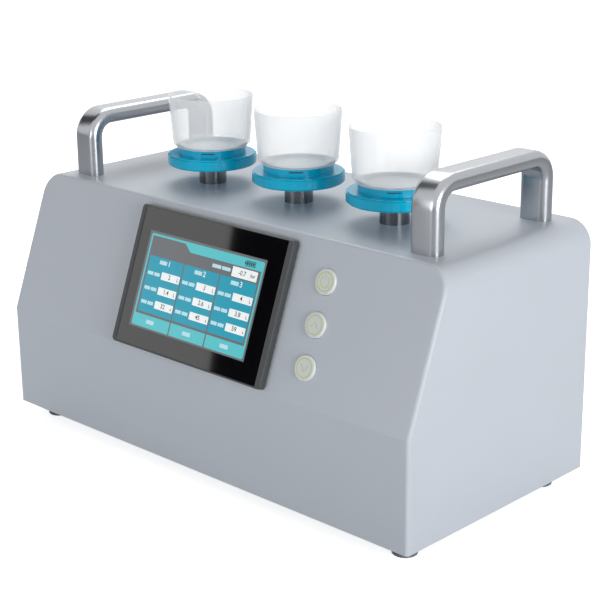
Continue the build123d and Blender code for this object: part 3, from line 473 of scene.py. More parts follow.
@dataclass
class Shape:
    """Points in millimetres and the faces between them."""

    points: Array
    faces: list[tuple[int, ...]]

    @staticmethod
    def grid(points: Array, close_rows: bool = True, close_columns: bool = True) -> "Shape":
        """Joins each point of a grid with its neighbours in four-sided faces.

        Args:
            points: array of rows by columns by 3.
            close_rows: whether the last row joins the first.
            close_columns: whether the last column joins the first.

        Returns:
            The shape.
        """
        rows, columns = points.shape[:2]
        i = np.arange(rows if close_rows else rows - 1)
        j = np.arange(columns if close_columns else columns - 1)
        a, b = np.meshgrid(i, j, indexing="ij")
        a_next, b_next = (a + 1) % rows, (b + 1) % columns
        first, second = a * columns + b, a_next * columns + b
        third, fourth = a_next * columns + b_next, a * columns + b_next
        faces = np.stack([first, second, third, fourth], -1).reshape(-1, 4)
        return Shape(points.reshape(-1, 3), [tuple(face) for face in faces.tolist()])

    @staticmethod
    def slab(outline: Array, levels: Levels) -> "Shape":
        """Flat piece: the outline at two heights, walls between them and a face at each end.

        Args:
            outline: array of points by 2.
            levels: heights of the underside and the upper side.

        Returns:
            The shape.
        """
        count = len(outline)
        points = [np.column_stack([outline, np.full(count, z)]) for z in levels]
        i = np.arange(count)
        after = (i + 1) % count
        walls = np.stack([i, after, after + count, i + count], -1).tolist()
        ends = [tuple(reversed(range(count))), tuple(range(count, 2 * count))]
        return Shape(np.concatenate(points), [tuple(wall) for wall in walls] + ends)

    def __add__(self, other: "Shape") -> "Shape":
        """Both shapes as one; the second's faces count on from the first's points."""
        moved = [tuple(n + len(self.points) for n in face) for face in other.faces]
        return Shape(np.concatenate([self.points, other.points]), self.faces + moved)

    def placed(self, place: Callable[[Array], Array]) -> "Shape":
        """The shape with its points carried into another frame."""
        return Shape(place(self.points), self.faces)

    def piece(
        self,
        name: str,
        body: str,
        finish: Finish,
        slot: str,
        replaces: Sequence[str] = (),
    ) -> bpy.types.Object:
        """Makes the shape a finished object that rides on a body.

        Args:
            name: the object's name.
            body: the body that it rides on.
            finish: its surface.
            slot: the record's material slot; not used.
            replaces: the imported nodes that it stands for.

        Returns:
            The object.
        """
        mesh = bpy.data.meshes.new(name)
        mesh.from_pydata(self.points * METRES, [], self.faces)
        form = bmesh.new()
        form.from_mesh(mesh)
        bmesh.ops.remove_doubles(form, verts=form.verts, dist=SAME_POINT)
        bmesh.ops.dissolve_degenerate(form, edges=form.edges, dist=NO_LENGTH)
        bmesh.ops.recalc_face_normals(form, faces=form.faces)
        form.to_mesh(mesh)
        form.free()
        mesh.shade_smooth()
        mesh.set_sharp_from_angle(angle=math.radians(CREASE_ANGLE))
        mesh.materials.append(finish.make())
        made = bpy.data.objects.new(name, mesh)
        bpy.context.scene.collection.objects.link(made)
        if replaces:
            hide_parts(*replaces)
        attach(made, body)
        log.info("%s: %d faces on %s", name, len(mesh.polygons), body)
        return made


def unit(vectors: Array) -> Array:
    """The vectors in the last axis, each with length one."""
    return vectors / np.linalg.norm(vectors, axis=-1, keepdims=True)


def rounded(corners: Sequence[Sequence[float]], radii: Sequence[float] | float, steps: int = 8) -> Array:
    """Closed outline with round corners.

    Each corner's arc runs between the two points at radius / tan(half the angle) along its sides.
    A point on it is the arc's centre plus the two end arms weighed by the sines of the angle still
    to go and the angle gone.

    Args:
        corners: the outline's corners in order.
        radii: one radius for all, or one each.
        steps: points on each arc.

    Returns:
        Array of points by 2.
    """
    corner = np.asarray(corners, float)
    radius = np.broadcast_to(np.asarray(radii, float), (len(corner),))[:, None]
    back, ahead = unit(np.roll(corner, 1, 0) - corner), unit(np.roll(corner, -1, 0) - corner)
    cosine = np.clip((back * ahead).sum(1, keepdims=True), -STRAIGHTEST, STRAIGHTEST)
    half = np.arccos(cosine) / 2
    to_centre = unit(back + ahead) * radius / np.sin(half)
    centre = corner + to_centre
    first = back * radius / np.tan(half) - to_centre
    last = ahead * radius / np.tan(half) - to_centre
    share = np.linspace(0, 1, steps)[None, :, None]
    sweep = (math.pi - 2 * half)[:, None]
    to_go, gone = np.sin((1 - share) * sweep), np.sin(share * sweep)
    arms = (to_go * first[:, None] + gone * last[:, None]) / np.sin(sweep)
    points = (centre[:, None] + arms).reshape(-1, 2)
    step = np.linalg.norm(points - np.roll(points, 1, 0), axis=1)
    return points[step > SAME_OUTLINE_POINT]


def rectangle(left: float, right: float, bottom: float, top: float, corner: float = 0.0) -> Array:
    """Outline of a rectangle, with round corners where a radius is given."""
    corners = [(left, bottom), (right, bottom), (right, top), (left, top)]
    return rounded(corners, corner) if corner else np.asarray(corners, float)


def turned(profile: Array, axis: Point, turns: int = 144) -> Shape:
    """Round piece about an upright axis: x = r cos t, y = r sin t, z = h for each profile point.

    Args:
        profile: closed outline of radius and height.
        axis: foot of the axis.
        turns: points round the circle.

    Returns:
        The shape.
    """
    angle = np.linspace(0, FULL_TURN, turns, endpoint=False)
    r, h = profile[:, None, 0], profile[:, None, 1]
    ring = np.stack([r * np.cos(angle), r * np.sin(angle), h + 0 * angle], -1)
    return Shape.grid(ring + np.asarray(axis, float))


def band(centre: Pair, radii: Pair, levels: Levels, arc: Array) -> Shape:
    """Flat ring or part of one: a square section carried round the angles of arc.

    Each point is x = centre + r cos t, y = centre + r sin t, z = one of the two heights.

    Args:
        centre: middle of the ring.
        radii: inner and outer radius.
        levels: heights of the underside and the upper side.
        arc: the angles, in radians.

    Returns:
        The shape, with a face on each end where it is only a part of a ring.
    """
    (inner, outer), (low, high) = radii, levels
    radius = np.array([inner, outer, outer, inner])[:, None]
    height = np.array([low, low, high, high])[:, None] + 0 * arc
    x, y = centre[0] + radius * np.cos(arc), centre[1] + radius * np.sin(arc)
    points = np.stack([x, y, height], -1)
    if math.isclose(arc[-1] - arc[0], FULL_TURN):
        return Shape.grid(points[:, :-1])
    part = Shape.grid(points, True, False)
    firsts = np.arange(len(radius)) * len(arc)
    part.faces += [tuple(firsts.tolist()), tuple((firsts + len(arc) - 1)[::-1].tolist())]
    return part


def stroke(points: Sequence[Pair], width: float, levels: Levels) -> Shape:
    """Pen line along points: each is moved half the width to both sides, square to the line there.

    Args:
        points: the line's points.
        width: the line's width.
        levels: heights of the underside and the upper side.

    Returns:
        The shape.
    """
    line = np.asarray(points, float)
    ahead = unit(np.diff(line, axis=0))
    side = np.column_stack([-ahead[:, 1], ahead[:, 0]])
    mean = unit(np.concatenate([side[:1], side[:-1] + side[1:], side[-1:]]))
    shortening = (mean * np.concatenate([side[:1], side[1:], side[-1:]])).sum(1, keepdims=True)
    offset = mean * width / 2 / shortening
    return Shape.slab(np.concatenate([line - offset, (line + offset)[::-1]]), levels)


def lettering(text: str, height: float, centre: Pair, levels: Levels) -> Shape:
    """Plain digits as thin solid shapes, a little bolder than the built-in type.

    Args:
        text: the characters.
        height: size of the type.
        centre: middle of the word.
        levels: heights of the underside and the upper side.

    Returns:
        The shape.
    """
    low, high = levels
    curve = bpy.data.curves.new("digits", "FONT")
    curve.body, curve.size = text, height
    curve.align_x, curve.align_y = "CENTER", "CENTER"
    curve.extrude = (high - low) / 2
    curve.offset = height * BOLDNESS
    curve.resolution_u = CURVE_STEPS
    holder = bpy.data.objects.new("digits", curve)
    bpy.context.scene.collection.objects.link(holder)
    bpy.context.view_layer.update()
    mesh = bpy.data.meshes.new_from_object(holder.evaluated_get(bpy.context.evaluated_depsgraph_get()))
    points = np.empty(len(mesh.vertices) * 3, np.float32)
    mesh.vertices.foreach_get("co", points)
    faces = [tuple(polygon.vertices) for polygon in mesh.polygons]
    bpy.data.objects.remove(holder)
    bpy.data.curves.remove(curve)
    bpy.data.meshes.remove(mesh)
    return Shape(points.reshape(-1, 3).astype(float) + (*centre, (low + high) / 2), faces)


def joined(shapes: Sequence[Shape]) -> Shape:
    """Several shapes as one."""
    return sum(shapes[1:], shapes[0])


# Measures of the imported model


@dataclass(frozen=True)
class Measures:
    """The body's main sizes, as in the part's source, and the glass's height off the slope."""

    front_upright: float = 93.0
    front_setback: float = 46.0
    body_height: float = 215.0
    foot_height: float = 14.0
    glass_top: float = 6.3

    @property
    def top(self) -> float:
        """Height of the top plate."""
        return self.foot_height + self.body_height

    @property
    def front(self) -> float:
        """Depth of the upright front face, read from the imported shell."""
        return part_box("housing_shell")[0].y / METRES

    def slope(self, points: Array) -> Array:
        """Carries points (across, up the slope, off the sheet) onto the sloping face.

        A point is the slope's foot plus each of its three numbers times that direction's unit vector.

        Args:
            points: array of points by 3.

        Returns:
            The points in the instrument's frame.
        """
        rise = self.body_height - self.front_upright
        length = math.hypot(rise, self.front_setback)
        across = np.array([1.0, 0.0, 0.0])
        up = np.array([0.0, self.front_setback / length, rise / length])
        out = np.array([0.0, -rise / length, self.front_setback / length])
        start = np.array([0.0, self.front, self.foot_height + self.front_upright])
        return start + points[:, :1] * across + points[:, 1:2] * up + points[:, 2:] * out


class Side(Enum):
    """Which end of the instrument a handle stands at."""

    LEFT = "left"
    RIGHT = "right"


# Sub-assemblies


@dataclass
class Handle:
    """Bent oval bar handle."""

    side: Side
    measures: Measures
    wide: float = 27.0
    thick: float = 14.4
    corner: float = 6.1
    bend: float = 18.5
    bend_steps: int = 24
    corner_steps: int = 10

    def middle_line(self, low: Vector, high: Vector) -> Array:
        """The bar's middle line, from the front foot over the top to the rear foot.

        Args:
            low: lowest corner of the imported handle's box.
            high: highest corner of it.

        Returns:
            Array of depth and height.
        """
        front, rear = low.y + self.thick / 2, high.y - self.thick / 2
        foot, bar = self.measures.top, high.z - self.thick / 2
        corners = [(front, foot), (front, bar), (rear, bar), (rear, foot)]
        line = rounded(corners, [0, self.bend, self.bend, 0], self.bend_steps)
        start = int(np.argmin(np.abs(line - (front, foot)).sum(1)))
        return np.roll(line, -start, 0)

    def build(self) -> None:
        """Carries the oval section along the middle line and closes both feet.

        A point is the middle line's plus the section's width along X and the section's thickness
        along the line's own normal.
        """
        node = f"{self.side.value}_handle"
        low, high = (Vector(corner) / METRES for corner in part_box(node))
        line = self.middle_line(low, high)
        ahead = np.gradient(line, axis=0)
        ahead[0], ahead[-1] = line[1] - line[0], line[-1] - line[-2]
        ahead = unit(ahead)
        across = np.stack([-ahead[:, 1], ahead[:, 0]], -1)
        half_wide, half_thick = self.wide / 2, self.thick / 2
        oval = rectangle(-half_wide, half_wide, -half_thick, half_thick)
        section = rounded(oval, self.corner, self.corner_steps)
        x = (low.x + high.x) / 2 + section[None, :, 0] + 0 * line[:, :1]
        y = line[:, None, 0] + section[None, :, 1] * across[:, None, 0]
        z = line[:, None, 1] + section[None, :, 1] * across[:, None, 1]
        shape = Shape.grid(np.stack([x, y, z], -1), False, True)
        count, total = len(section), len(shape.points)
        shape.faces += [tuple(range(count)), tuple(range(total - count, total))]
        shape.piece(f"{self.side.value}_handle_bar", "instrument", HANDLE, "handle_metal", [node])


@dataclass
class Station:
    """One filter station: the slot in its blue base's collar, drawn as a dark band of painted shade, and its
    clear cup.
    """

    number: int
    measures: Measures
    post_height: float = 17.3
    disc_height: float = 9.9
    collar_r: float = 30.1
    collar_height: float = 6.6
    collar_wall: float = 2.8
    slot_angle: float = -50.0
    slot_length: float = 12.0
    slot_height: float = 1.3
    slot_drop: float = 2.0
    slot_sunk: float = 0.3
    slot_proud: float = 0.03
    slot_steps: int = 13
    seat_drop: float = 1.9
    seat_clear: float = 0.4
    spigot_clear: float = 0.3
    gasket: float = 0.6
    spigot_inner_r: float = 24.2
    flange_r: float = 31.9
    flange_height: float = 0.6
    low_r: float = 34.3
    low_height: float = 1.9
    floor_edge_height: float = 3.4
    rim_r: float = 37.5
    cup_height: float = 45.1
    wall: float = 1.3
    edge_round: float = 0.2
    shoulder_round: float = 0.9
    rim_round: float = 0.55
    floor_edge_round: float = 1.2
    floor_round: float = 2.0
    spigot_round: float = 0.4
    arc_steps: int = 6

    @property
    def axis(self) -> Point:
        """Foot of the station's axis on the top plate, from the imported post."""
        low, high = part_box(f"filter_post_{self.number}")
        return ((low.x + high.x) / 2 / METRES, (low.y + high.y) / 2 / METRES, self.measures.top)

    @property
    def collar_top(self) -> float:
        """Height of the collar above the top plate."""
        return self.post_height + self.disc_height + self.collar_height

    def slot(self) -> None:
        """Thin dark blue band on the front of the collar where its slot is: the darkness is painted shade of
        the slot's recess, not a cut.
        """
        x, y, top = self.axis
        middle, half = math.radians(self.slot_angle), self.slot_length / 2 / self.collar_r
        arc = np.linspace(middle - half, middle + half, self.slot_steps)
        high = top + self.collar_top - self.slot_drop
        radii = (self.collar_r - self.slot_sunk, self.collar_r + self.slot_proud)
        form = band((x, y), radii, (high - self.slot_height, high), arc)
        form.piece(f"collar_slot_shade_{self.number}", f"base_{self.number}", SLOT_SHADE_BLUE, "base_blue")

    def cup(self) -> None:
        """Clear cup: spigot, sloping shoulder, flared wall and a round rim."""
        bottom = self.collar_top + self.gasket
        spigot_low = self.collar_top - self.seat_drop + self.seat_clear
        spigot_r = self.collar_r - self.collar_wall - self.spigot_clear
        rim = bottom + self.cup_height
        outline = [
            ((self.spigot_inner_r, spigot_low), self.edge_round),
            ((spigot_r, spigot_low), self.edge_round),
            ((spigot_r, bottom), 0.0),
            ((self.flange_r, bottom), self.edge_round),
            ((self.flange_r, bottom + self.flange_height), self.edge_round),
            ((self.low_r, bottom + self.low_height), self.shoulder_round),
            ((self.rim_r, rim), self.rim_round),
            ((self.rim_r - self.wall, rim), self.rim_round),
            ((self.low_r - self.wall, bottom + self.floor_edge_height), self.floor_edge_round),
            ((spigot_r, bottom + self.wall), self.floor_round),
            ((self.spigot_inner_r, bottom), self.spigot_round),
        ]
        corners, radii = zip(*outline)
        node = f"clear_cup_{self.number}"
        form = turned(rounded(corners, radii, self.arc_steps), self.axis)
        form.piece(f"{node}_form", f"cup_{self.number}", CLEAR, "cup_clear", [node])

    def build(self) -> None:
        """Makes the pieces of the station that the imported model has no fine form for."""
        self.slot()
        self.cup()


@dataclass
class Buttons:
    """Printed rings and signs on the three push buttons."""

    measures: Measures
    across: float = 126.7
    up: float = 63.2
    pitch: float = 34.5
    proud: float = 2.2
    print_lift: float = 0.03
    pen: float = 0.75
    ring_r: float = 7.65
    ring_width: float = 0.95
    ring_steps: int = 73
    power_r: float = 4.1
    power_start: float = 125.0
    power_end: float = 415.0
    power_steps: int = 59
    bar_low: float = 2.6
    bar_high: float = 5.6
    arrow_half: float = 3.9
    arrow_rise: float = 2.6

    @property
    def levels(self) -> Levels:
        """Heights of the print's underside and upper side."""
        return self.proud - self.print_lift, self.proud + self.print_lift

    def ring(self, v: float) -> Shape:
        """The ring printed on the button at height v."""
        radii = (self.ring_r - self.ring_width / 2, self.ring_r + self.ring_width / 2)
        return band((self.across, v), radii, self.levels, np.linspace(0, FULL_TURN, self.ring_steps))

    def power_sign(self, v: float) -> Shape:
        """Open circle with a bar in its gap.

        Args:
            v: the button's height up the slope.

        Returns:
            The shape.
        """
        arc = np.radians(np.linspace(self.power_start, self.power_end, self.power_steps))
        circle = band((self.across, v), (self.power_r, self.power_r + self.pen), self.levels, arc)
        left, right = self.across - self.pen / 2, self.across + self.pen / 2
        return circle + Shape.slab(rectangle(left, right, v + self.bar_low, v + self.bar_high), self.levels)

    def arrow_sign(self, v: float, rise: float) -> Shape:
        """Chevron that points up where rise is positive, or down."""
        line = [(self.across + s * self.arrow_half, v + t * rise) for s, t in ((-1, -1), (0, 1), (1, -1))]
        return stroke(line, self.pen, self.levels)

    def build(self) -> None:
        """Prints one sign on each button."""
        top, middle, bottom = self.up + self.pitch, self.up, self.up - self.pitch
        prints = {
            "power": self.ring(top) + self.power_sign(top),
            "up": self.ring(middle) + self.arrow_sign(middle, self.arrow_rise),
            "down": self.ring(bottom) + self.arrow_sign(bottom, -self.arrow_rise),
        }
        place = self.measures.slope
        for name, shape in prints.items():
            shape.placed(place).piece(f"{name}_print", f"{name}_push", LIME, "button_plastic")


@dataclass(frozen=True)
class Box:
    """Upright rectangle on the slope."""

    left: float
    right: float
    bottom: float
    top: float

    def outline(self, corner: float = 0.0) -> Array:
        """The rectangle's outline, with round corners where a radius is given."""
        return rectangle(self.left, self.right, self.bottom, self.top, corner)


def flat(boxes: Sequence[Box], levels: Levels, corner: float = 0.0) -> Shape:
    """Rectangles as one flat shape between two heights."""
    return joined([Shape.slab(box.outline(corner), levels) for box in boxes])


@dataclass(frozen=True)
class BatterySign:
    """Battery sign: a case with four cells and a knob on its left."""

    box: Box = Box(43.6, 54.6, 93.9, 98.3)
    line: float = 0.5
    knob_gap: float = 0.1
    knob_length: float = 1.0
    knob_inset: float = 1.2
    cells: int = 4
    cell_start: float = 1.0
    cell_end: float = 0.4
    cell_gap: float = 0.7
    cell_inset: float = 0.9

    def shape(self, levels: Levels) -> Shape:
        """Draws the case as a frame of its line's width, and the knob and the cells as bars.

        Args:
            levels: heights of its underside and upper side.

        Returns:
            The shape.
        """
        box, line, (low, high) = self.box, self.line, levels
        inner = Box(box.left + line, box.right - line, box.bottom + line, box.top - line)
        loops = ((inner, low), (box, low), (box, high), (inner, high))
        case = np.stack([np.insert(loop.outline(), 2, z, axis=1) for loop, z in loops])
        knob = box.left - self.knob_gap
        bottom, top = box.bottom + self.knob_inset, box.top - self.knob_inset
        bars = [Box(knob - self.knob_length, knob, bottom, top)]
        bottom, top = box.bottom + self.cell_inset, box.top - self.cell_inset
        pitch = (box.right - box.left - self.cell_start - self.cell_end) / self.cells
        for number in range(self.cells):
            left = box.left + self.cell_start + number * pitch
            bars.append(Box(left, left + pitch - self.cell_gap, bottom, top))
        return Shape.grid(case) + flat(bars, levels)


class Layer(IntEnum):
    """The page's layers, counted up from the glass."""

    GROUND = 0
    PANEL = 1
    SIGN = 2
    INK = 3


@dataclass
class DisplayPage:
    """The lit page of the display, drawn in flat layers just above the glass."""

    measures: Measures
    layer_height: float = 0.02
    ground: Box = Box(-75.2, 66.2, 18.8, 102.4)
    frame: Box = Box(-72.8, 64.4, 20.3, 100.3)
    edge: float = 1.8
    key_height: float = 10.6
    header_height: float = 8.1
    step_start: float = 42.7
    step_end: float = 50.8
    left_key_end: float = -26.5
    middle_key: Pair = (-25.0, 17.1)
    right_key_start: float = 18.6
    frame_corner: float = 2.0
    key_corner: float = 0.4
    step_round: float = 0.6
    slant_round: float = 1.2
    arc_steps: int = 6
    column_lefts: tuple[float, ...] = (-68.7, -25.0, 18.7)
    column_width: float = 42.2
    column_span: Pair = (33.0, 81.5)
    field_shift: float = 18.9
    field_width: float = 22.7
    field_height: float = 6.5
    field_corner: float = 0.5
    row_middles: tuple[float, ...] = (66.7, 53.8, 41.6)
    readings: tuple[tuple[str, ...], ...] = (("2", "1.4", "32"), ("3", "2.6", "45"), ("4", "3.8", "59"))
    units: tuple[str, ...] = ("L", "L", "s")
    reading_size: float = 5.6
    reading_shift: float = 29.0
    unit_size: float = 4.4
    unit_shift: float = 39.2
    unit_drop: float = 0.3
    number_size: float = 6.4
    number_shift: float = 25.2
    number_middle: float = 77.6
    pressure_field: Box = Box(30.4, 59.4, 82.7, 91.0)
    pressure_words: tuple[str, str] = ("-0.7", "bar")
    pressure_middle: float = 86.8
    pressure_reading: float = 42.2
    pressure_unit: float = 54.6
    pressure_bars: tuple[Box, ...] = (Box(6.8, 17.4, 85.6, 88.6), Box(18.4, 28.4, 85.6, 88.6))
    heading_bar: Box = Box(13.2, 22.4, 75.9, 79.3)
    row_bars: tuple[Pair, ...] = ((1.4, 8.6), (9.6, 16.8))
    row_bar_half: float = 1.5
    key_bar_middles: tuple[float, ...] = (-50.4, -4.6, 41.0)
    key_bar: Box = Box(-4.8, 4.8, 24.0, 27.4)
    bar_corner: float = 0.6
    battery: BatterySign = BatterySign()
    groove: Box = Box(-88.0, -87.0, 5.5, 120.0)
    groove_levels: Levels = (6.48, 6.52)

    def level(self, layer: Layer) -> Levels:
        """Heights of a layer's underside and upper side."""
        low = self.measures.glass_top + self.layer_height * layer
        return low, low + self.layer_height

    def frame_shape(self) -> Shape:
        """Turquoise frame: header with its slanted step, thin sides and the three lower keys.

        Returns:
            The shape.
        """
        left, right, bottom, top = self.frame.left, self.frame.right, self.frame.bottom, self.frame.top
        inner_left, inner_right = left + self.edge, right - self.edge
        key_top, header_low = bottom + self.key_height, top - self.header_height
        outline = [
            ((left, bottom), self.frame_corner),
            ((self.left_key_end, bottom), self.key_corner),
            ((self.left_key_end, key_top), 0.0),
            ((inner_left, key_top), 0.0),
            ((inner_left, top - self.edge), self.step_round),
            ((left + self.step_start, top - self.edge), self.slant_round),
            ((left + self.step_end, header_low), self.step_round),
            ((inner_right, header_low), 0.0),
            ((inner_right, key_top), 0.0),
            ((self.right_key_start, key_top), 0.0),
            ((self.right_key_start, bottom), self.key_corner),
            ((right, bottom), self.frame_corner),
            ((right, top), self.frame_corner),
            ((left, top), self.frame_corner),
        ]
        points, radii = zip(*outline)
        level = self.level(Layer.PANEL)
        middle_key = Shape.slab(rectangle(*self.middle_key, bottom, key_top), level)
        return Shape.slab(rounded(points, radii, self.arc_steps), level) + middle_key

    def columns(self) -> Shape:
        """The three blue columns."""
        boxes = [Box(x, x + self.column_width, *self.column_span) for x in self.column_lefts]
        return flat(boxes, self.level(Layer.PANEL))

    def fields(self) -> Shape:
        """White boxes that hold the readings, with the one for pressure above.

        Returns:
            The shape.
        """
        half = self.field_height / 2
        lefts = [x + self.field_shift for x in self.column_lefts]
        boxes = [Box(x, x + self.field_width, v - half, v + half) for x in lefts for v in self.row_middles]
        boxes.append(self.pressure_field)
        return flat(boxes, self.level(Layer.SIGN), self.field_corner)

    def ink(self) -> Shape:
        """Readings and their units in the white boxes.

        Returns:
            The shape.
        """
        level = self.level(Layer.INK)
        words = []
        for x, column in zip(self.column_lefts, self.readings):
            for v, reading, unit_name in zip(self.row_middles, column, self.units):
                unit_place = (x + self.unit_shift, v - self.unit_drop)
                words.append(lettering(reading, self.reading_size, (x + self.reading_shift, v), level))
                words.append(lettering(unit_name, self.unit_size, unit_place, level))
        v, (reading, unit_name) = self.pressure_middle, self.pressure_words
        words.append(lettering(reading, self.reading_size, (self.pressure_reading, v), level))
        words.append(lettering(unit_name, self.unit_size, (self.pressure_unit, v), level))
        return joined(words)

    def marks(self) -> Shape:
        """Number of each column.

        Returns:
            The shape.
        """
        level, words = self.level(Layer.SIGN), []
        for number, x in enumerate(self.column_lefts, start=1):
            place = (x + self.number_shift, self.number_middle)
            words.append(lettering(str(number), self.number_size, place, level))
        return joined(words)

    def labels(self) -> Shape:
        """Plain bars where a word would stand: by each box, by each number and on the three keys.

        Returns:
            The shape.
        """
        bars = list(self.pressure_bars)
        heading, half, key = self.heading_bar, self.row_bar_half, self.key_bar
        for x in self.column_lefts:
            bars.append(Box(x + heading.left, x + heading.right, heading.bottom, heading.top))
            spans = [(x + start, x + end) for start, end in self.row_bars]
            bars.extend(Box(*span, v - half, v + half) for v in self.row_middles for span in spans)
        bars.extend(Box(x + key.left, x + key.right, key.bottom, key.top) for x in self.key_bar_middles)
        return flat(bars, self.level(Layer.SIGN), self.bar_corner)

    def build(self) -> None:
        """Draws each layer of the page as one piece, and the dark line beside the glass."""
        layers = {
            "page_ground": (Shape.slab(self.ground.outline(), self.level(Layer.GROUND)), PAGE_GREY),
            "page_frame": (self.frame_shape(), PAGE_TEAL),
            "page_columns": (self.columns(), PAGE_BLUE),
            "page_fields": (self.fields(), PAGE_WHITE),
            "page_marks": (self.marks(), PAGE_WHITE),
            "page_labels": (self.labels(), PAGE_LABEL),
            "page_digits": (self.ink(), PAGE_INK),
            "page_battery": (self.battery.shape(self.level(Layer.SIGN)), PAGE_DARK),
        }
        place = self.measures.slope
        for name, (shape, finish) in layers.items():
            shape.placed(place).piece(name, "instrument", finish, "display")
        groove = Shape.slab(self.groove.outline(), self.groove_levels)
        groove.placed(place).piece("bezel_groove", "instrument", SEAL, "bezel_plastic")


@dataclass
class Packed:
    """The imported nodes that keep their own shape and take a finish."""

    frame: dict[str, object]

    def dress(self) -> None:
        """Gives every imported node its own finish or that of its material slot."""
        slots = {part["node"]: part["material_slot"] for part in self.frame["record"]["subparts"]}
        for name, node in self.frame["nodes"].items():
            finish = SPECIAL_FINISH.get(name, SLOT_FINISH[slots[name]])
            node.data.materials.clear()
            node.data.materials.append(finish.make())
            log.info("%s: %s", name, finish.name)


# Studio


@dataclass(frozen=True)
class Lamp:
    """Soft square lamp: where it stands, the point it faces, its side and its power."""

    name: str
    place: Point
    aim: Point
    size: float
    watts: float

    def build(self) -> None:
        """Adds the lamp."""
        data = bpy.data.lights.new(self.name, "AREA")
        data.size, data.energy = self.size, self.watts
        holder = bpy.data.objects.new(self.name, data)
        holder.location = self.place
        holder.rotation_mode = "QUATERNION"
        holder.rotation_quaternion = (Vector(self.aim) - Vector(self.place)).to_track_quat("-Z", "Y")
        bpy.context.scene.collection.objects.link(holder)


@dataclass
class Studio:
    """Pale floor, white surroundings, soft lamps and the camera.

    The camera's angles are in degrees. They, its place and its lens come from a fit to points of
    the photograph.
    """

    surround: float = 0.30
    surround_colour: Colour = (0.93, 0.96, 1.0)
    white: Colour = (1.0, 1.0, 1.0)
    floor_side: float = 30.0
    floor_dark: Colour = (0.80, 0.81, 0.82)
    floor_light: Colour = (0.82, 0.83, 0.84)
    floor_spot: float = 0.3
    floor_glow: float = 0.78
    lamps: tuple[Lamp, ...] = (
        Lamp("key", (2.1, -0.4, 0.45), (0.0, 0.0, 0.1), 0.85, 26.0),
        Lamp("top", (-0.9, 1.0, 2.0), (0.0, 0.0, 0.1), 1.4, 25.0),
        Lamp("front", (-0.4, -2.2, 0.2), (0.0, 0.0, 0.06), 1.3, 15.0),
    )
    sensor: float = 36.0
    lens: float = 93.18
    azimuth: float = 44.159
    elevation: float = 17.686
    roll: float = -0.626
    eye: Point = (0.914243, -0.928206, 0.551443)
    nearest: float = 0.05
    farthest: float = 100.0
    black_part: tuple[Pair, ...] = ((17.5, 135.0), (33.0, -12.0), (170.0, -12.0), (170.0, 135.0))
    dark_distance: float = 0.75
    dark_shade: float = 0.0
    soft_middle: Point = (-0.64, -0.31, 0.86)
    soft_half_wide: float = 0.52
    soft_half_high: float = 0.2
    soft_shade: float = 0.02

    def axes(self) -> tuple[Array, Array, Array]:
        """Right, up and back of the camera: turned about the upright, tipped, then rolled.

        Returns:
            The three unit vectors.
        """
        a, e, r = (math.radians(angle) for angle in (self.azimuth, self.elevation, self.roll))
        back = np.array([math.sin(a) * math.cos(e), -math.cos(a) * math.cos(e), math.sin(e)])
        right = np.array([math.cos(a), math.sin(a), 0.0])
        up = np.cross(back, right)
        return math.cos(r) * right + math.sin(r) * up, math.cos(r) * up - math.sin(r) * right, back

    def camera(self) -> None:
        """Places the camera where the picture was taken from."""
        data = bpy.data.cameras.new("view")
        data.sensor_width, data.lens = self.sensor, self.lens
        data.clip_start, data.clip_end = self.nearest, self.farthest
        holder = bpy.data.objects.new("view", data)
        turn = Matrix(np.column_stack(self.axes()).tolist()).to_4x4()
        holder.matrix_world = Matrix.Translation(Vector(self.eye)) @ turn
        bpy.context.scene.collection.objects.link(holder)
        bpy.context.scene.camera = holder

    def world(self) -> None:
        """White for the camera, reflections and clear walls, a plain grey light for all else."""
        world = bpy.data.worlds.new("surround")
        world.use_nodes = True
        bpy.context.scene.world = world
        bench = Bench(world.node_tree)
        kinds = ("Is Camera Ray", "Is Glossy Ray", "Is Transmission Ray")
        direct, glossy, clear = (bench.add("LightPath", {}, {}, kind) for kind in kinds)
        seen = direct.largest(glossy).largest(clear)
        plain = {"Color": self.surround_colour, "Strength": self.surround}
        light = bench.add("Background", {}, plain)
        white = bench.add("Background", {}, {"Color": self.white, "Strength": 1.0})
        mixed = bench.add("MixShader", {}, {0: seen, 1: light, 2: white})
        bench.add("OutputWorld", {}, {"Surface": mixed})

    def floor(self) -> None:
        """Level floor that is white in the open and keeps the instrument's soft shadow."""
        half = self.floor_side / 2
        mesh = bpy.data.meshes.new("floor")
        corners = [(-half, -half, 0.0), (half, -half, 0.0), (half, half, 0.0), (-half, half, 0.0)]
        mesh.from_pydata(corners, [], [(0, 1, 2, 3)])
        material = bpy.data.materials.new("floor_paint")
        material.use_nodes = True
        bench = Bench(material.node_tree)
        place = bench.add("TexCoord", {}, {}, "Object")
        shade = bench.blend(bench.noise(place, self.floor_spot), self.floor_dark, self.floor_light)
        paint = bench.add("BsdfDiffuse", {}, {"Color": shade})
        glow = bench.add("Emission", {}, {"Color": self.white, "Strength": self.floor_glow})
        lit = bench.add("AddShader", {}, {0: paint, 1: glow})
        direct = bench.add("LightPath", {}, {}, "Is Camera Ray")
        mixed = bench.add("MixShader", {}, {0: direct, 1: paint, 2: lit})
        bench.add("OutputMaterial", {}, {"Surface": mixed})
        mesh.materials.append(material)
        floor = bpy.data.objects.new("floor", mesh)
        bpy.context.scene.collection.objects.link(floor)
        floor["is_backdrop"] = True

    def dark_flag(self, measures: Measures) -> None:
        """Black card that makes the right part of the glass black.

        Each corner is a point of the glass plus the ray from the camera mirrored in the glass there.

        Args:
            measures: the body's sizes.
        """
        glass = np.array([(*corner, measures.glass_top) for corner in self.black_part])
        points = measures.slope(glass) * METRES
        foot, tip = measures.slope(np.array([[0.0, 0.0, 0.0], [0.0, 0.0, 1.0]]))
        out = (tip - foot)[None]
        ray = unit(points - np.asarray(self.eye))
        mirrored = ray - 2 * (ray @ out.T) * out
        self.card("dark_flag", points + mirrored * self.dark_distance, self.dark_shade)

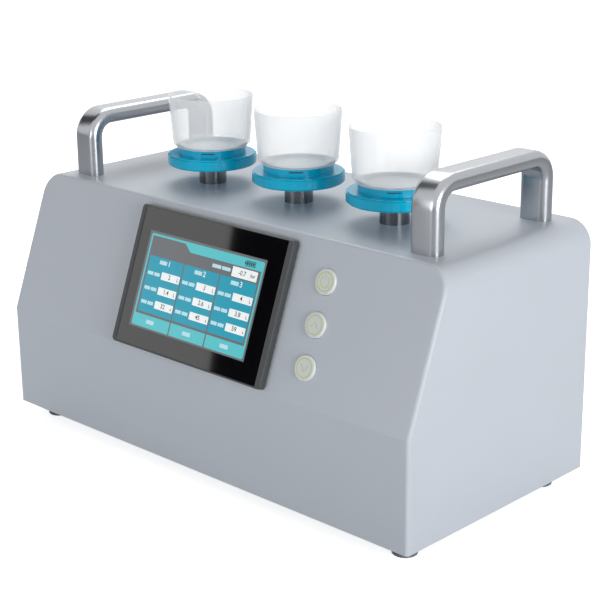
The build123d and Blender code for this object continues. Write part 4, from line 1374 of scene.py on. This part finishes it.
    def soft_flag(self) -> None:
        """Dark grey card above the left front, that the upper bends of the handles mirror."""
        middle = np.array(self.soft_middle)
        facing = unit(middle)
        along = unit(np.cross(facing, (0.0, 1.0, 0.0)))
        across = np.cross(facing, along)
        signs = np.array([(-1, -1), (1, -1), (1, 1), (-1, 1)], float)
        sideways = signs[:, :1] * along * self.soft_half_wide
        upward = signs[:, 1:] * across * self.soft_half_high
        self.card("soft_flag", middle + sideways + upward, self.soft_shade)

    def card(self, name: str, points: Array, shade: float) -> None:
        """Adds a four-cornered card that only reflections see.

        Args:
            name: the card's name.
            points: its corners, in metres.
            shade: how light it is.
        """
        mesh = bpy.data.meshes.new(name)
        mesh.from_pydata(points.tolist(), [], [(0, 1, 2, 3)])
        material = bpy.data.materials.new(name)
        material.use_nodes = True
        bench = Bench(material.node_tree)
        plain = bench.add("Emission", {}, {"Color": (shade, shade, shade), "Strength": 1.0})
        bench.add("OutputMaterial", {}, {"Surface": plain})
        mesh.materials.append(material)
        flag = bpy.data.objects.new(name, mesh)
        flag.visible_camera = flag.visible_diffuse = False
        flag.visible_shadow = flag.visible_transmission = False
        bpy.context.scene.collection.objects.link(flag)
        flag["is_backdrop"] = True

    def build(self, measures: Measures) -> None:
        """Sets up the whole studio.

        Args:
            measures: the body's sizes.
        """
        bpy.context.scene.view_settings.view_transform = "Standard"
        self.camera()
        self.world()
        self.floor()
        for lamp in self.lamps:
            lamp.build()
            log.info("lamp %s: %.0f W", lamp.name, lamp.watts)
        self.dark_flag(measures)
        self.soft_flag()


def corners() -> list[list[float]]:
    """The shown object's box as plain lists."""
    return [list(corner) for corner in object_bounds()]


def main() -> None:
    """Loads the frame and dresses it in order."""
    logging.basicConfig(level=logging.INFO, format="%(name)s %(message)s")
    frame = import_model()
    measures = Measures()
    Packed(frame).dress()
    for side in Side:
        Handle(side, measures).build()
    for number in STATION_NUMBERS:
        Station(number, measures).build()
    Buttons(measures).build()
    DisplayPage(measures).build()
    Studio().build(measures)


if __name__ == "__main__":
    main()
